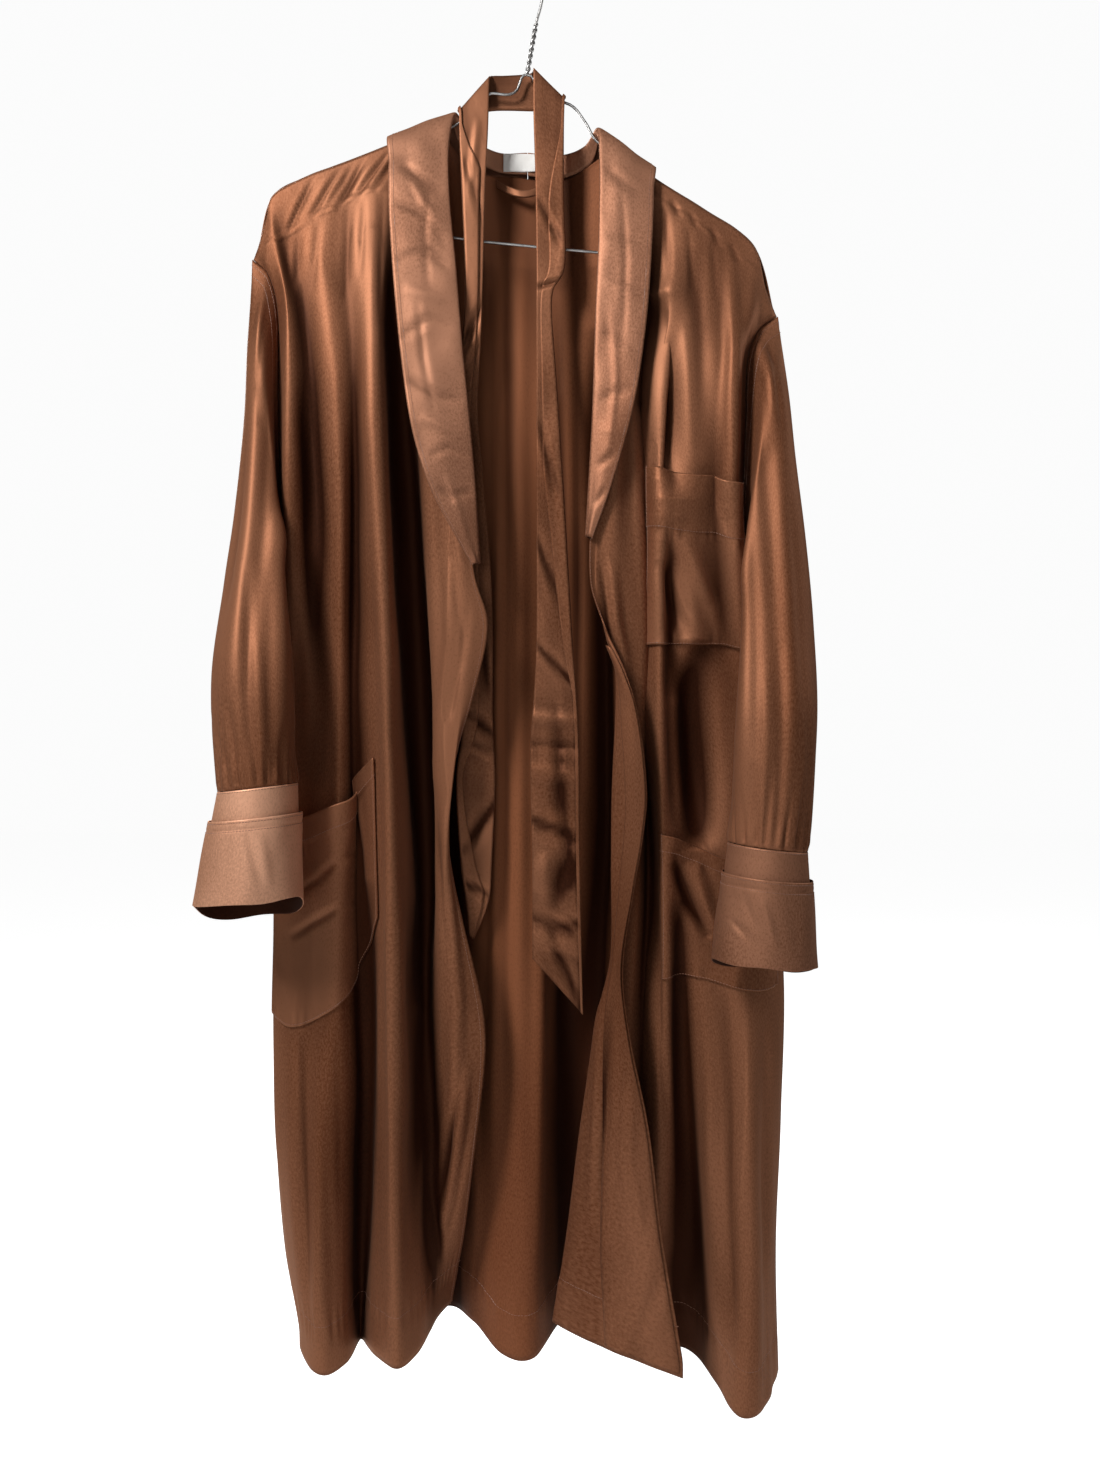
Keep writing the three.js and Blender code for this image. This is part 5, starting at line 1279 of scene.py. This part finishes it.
def sewn(name, paths, pitch=3.2):
    """Rows of stitches along paths given in millimetres."""
    points, edges = [], []
    for path in paths:
        start = len(points)
        points += (np.asarray(path) * MM).tolist()
        edges += [(start + i, start + i + 1) for i in range(len(path) - 1)]
    mesh = bpy.data.meshes.new(name + "_path")
    mesh.from_pydata(points, edges, [])
    guide = bpy.data.objects.new(name + "_path", mesh)
    bpy.context.scene.collection.objects.link(guide)
    rows = guide.modifiers.new("stitches", "NODES")
    rows.node_group = STITCHES
    sockets = {item.name: item.identifier for item in STITCHES.interface.items_tree if item.in_out == "INPUT"}
    rows[sockets["Pitch"]] = pitch * MM
    rows[sockets["Length"]] = pitch * STITCH_SHARE * MM
    rows[sockets["Thread"]] = THREAD_RADIUS * MM
    rows[sockets["Material"]] = THREAD
    made = bpy.data.meshes.new_from_object(guide.evaluated_get(bpy.context.evaluated_depsgraph_get()))
    bpy.data.objects.remove(guide)
    piece = bpy.data.objects.new(name, made)
    bpy.context.scene.collection.objects.link(piece)
    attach(piece, "root")
    return piece


def hem_row(outside):
    """The row of grid points nearest the top of the turned hem."""
    fallen = outside[:, outside.shape[1] // 2, 2]
    return int(np.argmin(np.abs(fallen - (fallen[-1] + HEM_DEPTH))))


def ring_rows(*layers):
    """Closed rows round sleeves and cuffs: each layer is its outside and the rows of it that are sewn."""
    return [np.vstack([outside[row], outside[row][:1]]) for outside, rows in layers for row in rows]


sewn("stitches_hem", [side[hem_row(side)] for side in (right_out, left_out, back_out, back_in, left_in)])
sewn("stitches_front_edges", [right_out[60:, -3], left_out[60:, -3]], pitch=TOPSTITCH)
sewn("stitches_armholes", ring_rows((sleeve_right_out, (2, 6)), (sleeve_left_out, (2, 6))), pitch=TOPSTITCH)
sewn("stitches_cuffs", ring_rows(
    (band_right_out, (1,)), (band_left_out, (1,)), (cuff_right_out, (2, 8)), (cuff_left_out, (2, 8)),
), pitch=2.6)
sewn("stitches_collar", [out[:, -3] for out in (collar_right_out, collar_left_out)], pitch=TOPSTITCH)
pocket_rows = []
for outside, band in ((hip_right_out, HIP_BAND), (hip_left_out, HIP_BAND), (chest_out, CHEST_BAND)):
    row = int(band * outside.shape[0])
    pocket_rows += [outside[row], np.concatenate([outside[:-2, 1], outside[-2, 1:-1], outside[-2::-1, -2]])]
sewn("stitches_pockets", pocket_rows, pitch=TOPSTITCH)


# The room: a plain pale floor, a soft key lamp at the upper left with two weak ones in front, soft lamps
# behind and at the side, and the camera where the photograph was taken. Floor and air look white to the
# camera alone, so that they throw little light on the satin.
floor_mesh = bpy.data.meshes.new("floor")
floor_mesh.from_pydata([(-9, -9, -1.55), (9, -9, -1.55), (9, 9, -1.55), (-9, 9, -1.55)], [], [(0, 1, 2, 3)])
floor = bpy.data.objects.new("floor", floor_mesh)
bpy.context.scene.collection.objects.link(floor)
pale, tree, skin = new_material("pale floor")
set_inputs(skin, {"Roughness": 0.9, "Emission Color": (1, 1, 1, 1)})
seen = add_node(tree, "ShaderNodeLightPath")
lift = add_node(tree, "ShaderNodeMath", operation="MULTIPLY")
lift.inputs[1].default_value = 0.9
tree.links.new(seen.outputs["Is Camera Ray"], lift.inputs[0])
tree.links.new(lift.outputs[0], skin.inputs["Emission Strength"])
fleck = add_node(tree, "ShaderNodeTexNoise", Scale=3.0, Detail=4.0)
painted = two_tone(tree, fleck.outputs["Fac"], (0.86, 0.86, 0.86), (0.9, 0.9, 0.9))
tree.links.new(painted, skin.inputs["Base Color"])
floor_mesh.materials.append(pale)

world = bpy.data.worlds.new("pale room")
bpy.context.scene.world = world
world.use_nodes = True
tree = world.node_tree
air = tree.nodes["Background"]
set_inputs(air, {"Color": (1, 1, 1, 1)})
seen = add_node(tree, "ShaderNodeLightPath")
bright = add_node(tree, "ShaderNodeMapRange")
set_inputs(bright, {"To Min": 0.07, "To Max": 0.97})
tree.links.new(seen.outputs["Is Camera Ray"], bright.inputs["Value"])
tree.links.new(bright.outputs["Result"], air.inputs["Strength"])


def lamp(name, place, aim, size, power):
    light = bpy.data.lights.new(name, "AREA")
    light.shape = "RECTANGLE"
    light.size, light.size_y = size
    light.energy = power
    fixture = bpy.data.objects.new(name, light)
    fixture.location = place
    fixture.rotation_euler = (Vector(aim) - Vector(place)).to_track_quat("-Z", "Y").to_euler()
    bpy.context.scene.collection.objects.link(fixture)


lamp("key", (-1.0, -1.2, 0.55), (0.0, 0.0, -0.6), (0.4, 0.7), 41)
lamp("second", (1.1, -1.4, 0.6), (0.0, 0.0, -0.75), (0.4, 0.9), 3)
lamp("front", (-0.4, -2.3, -0.7), (0.0, 0.0, -0.9), (0.6, 0.9), 4)
lamp("behind", (-0.9, 1.7, 0.5), (0.0, 0.0, -0.7), (0.9, 1.2), 34)
lamp("side", (2.2, 0.5, 0.2), (0.0, 0.0, -0.7), (0.6, 1.2), 10)

bpy.context.scene.view_settings.view_transform = "Standard"
camera_data = bpy.data.cameras.new("photo camera")
camera_data.lens = 36 * 1232 / 1467
camera_data.clip_start = 0.05
camera = bpy.data.objects.new("photo camera", camera_data)
camera.location = (0.0215, -1.15, -0.739)
camera.rotation_euler = (math.radians(90), 0, 0)
bpy.context.scene.collection.objects.link(camera)
bpy.context.scene.camera = camera
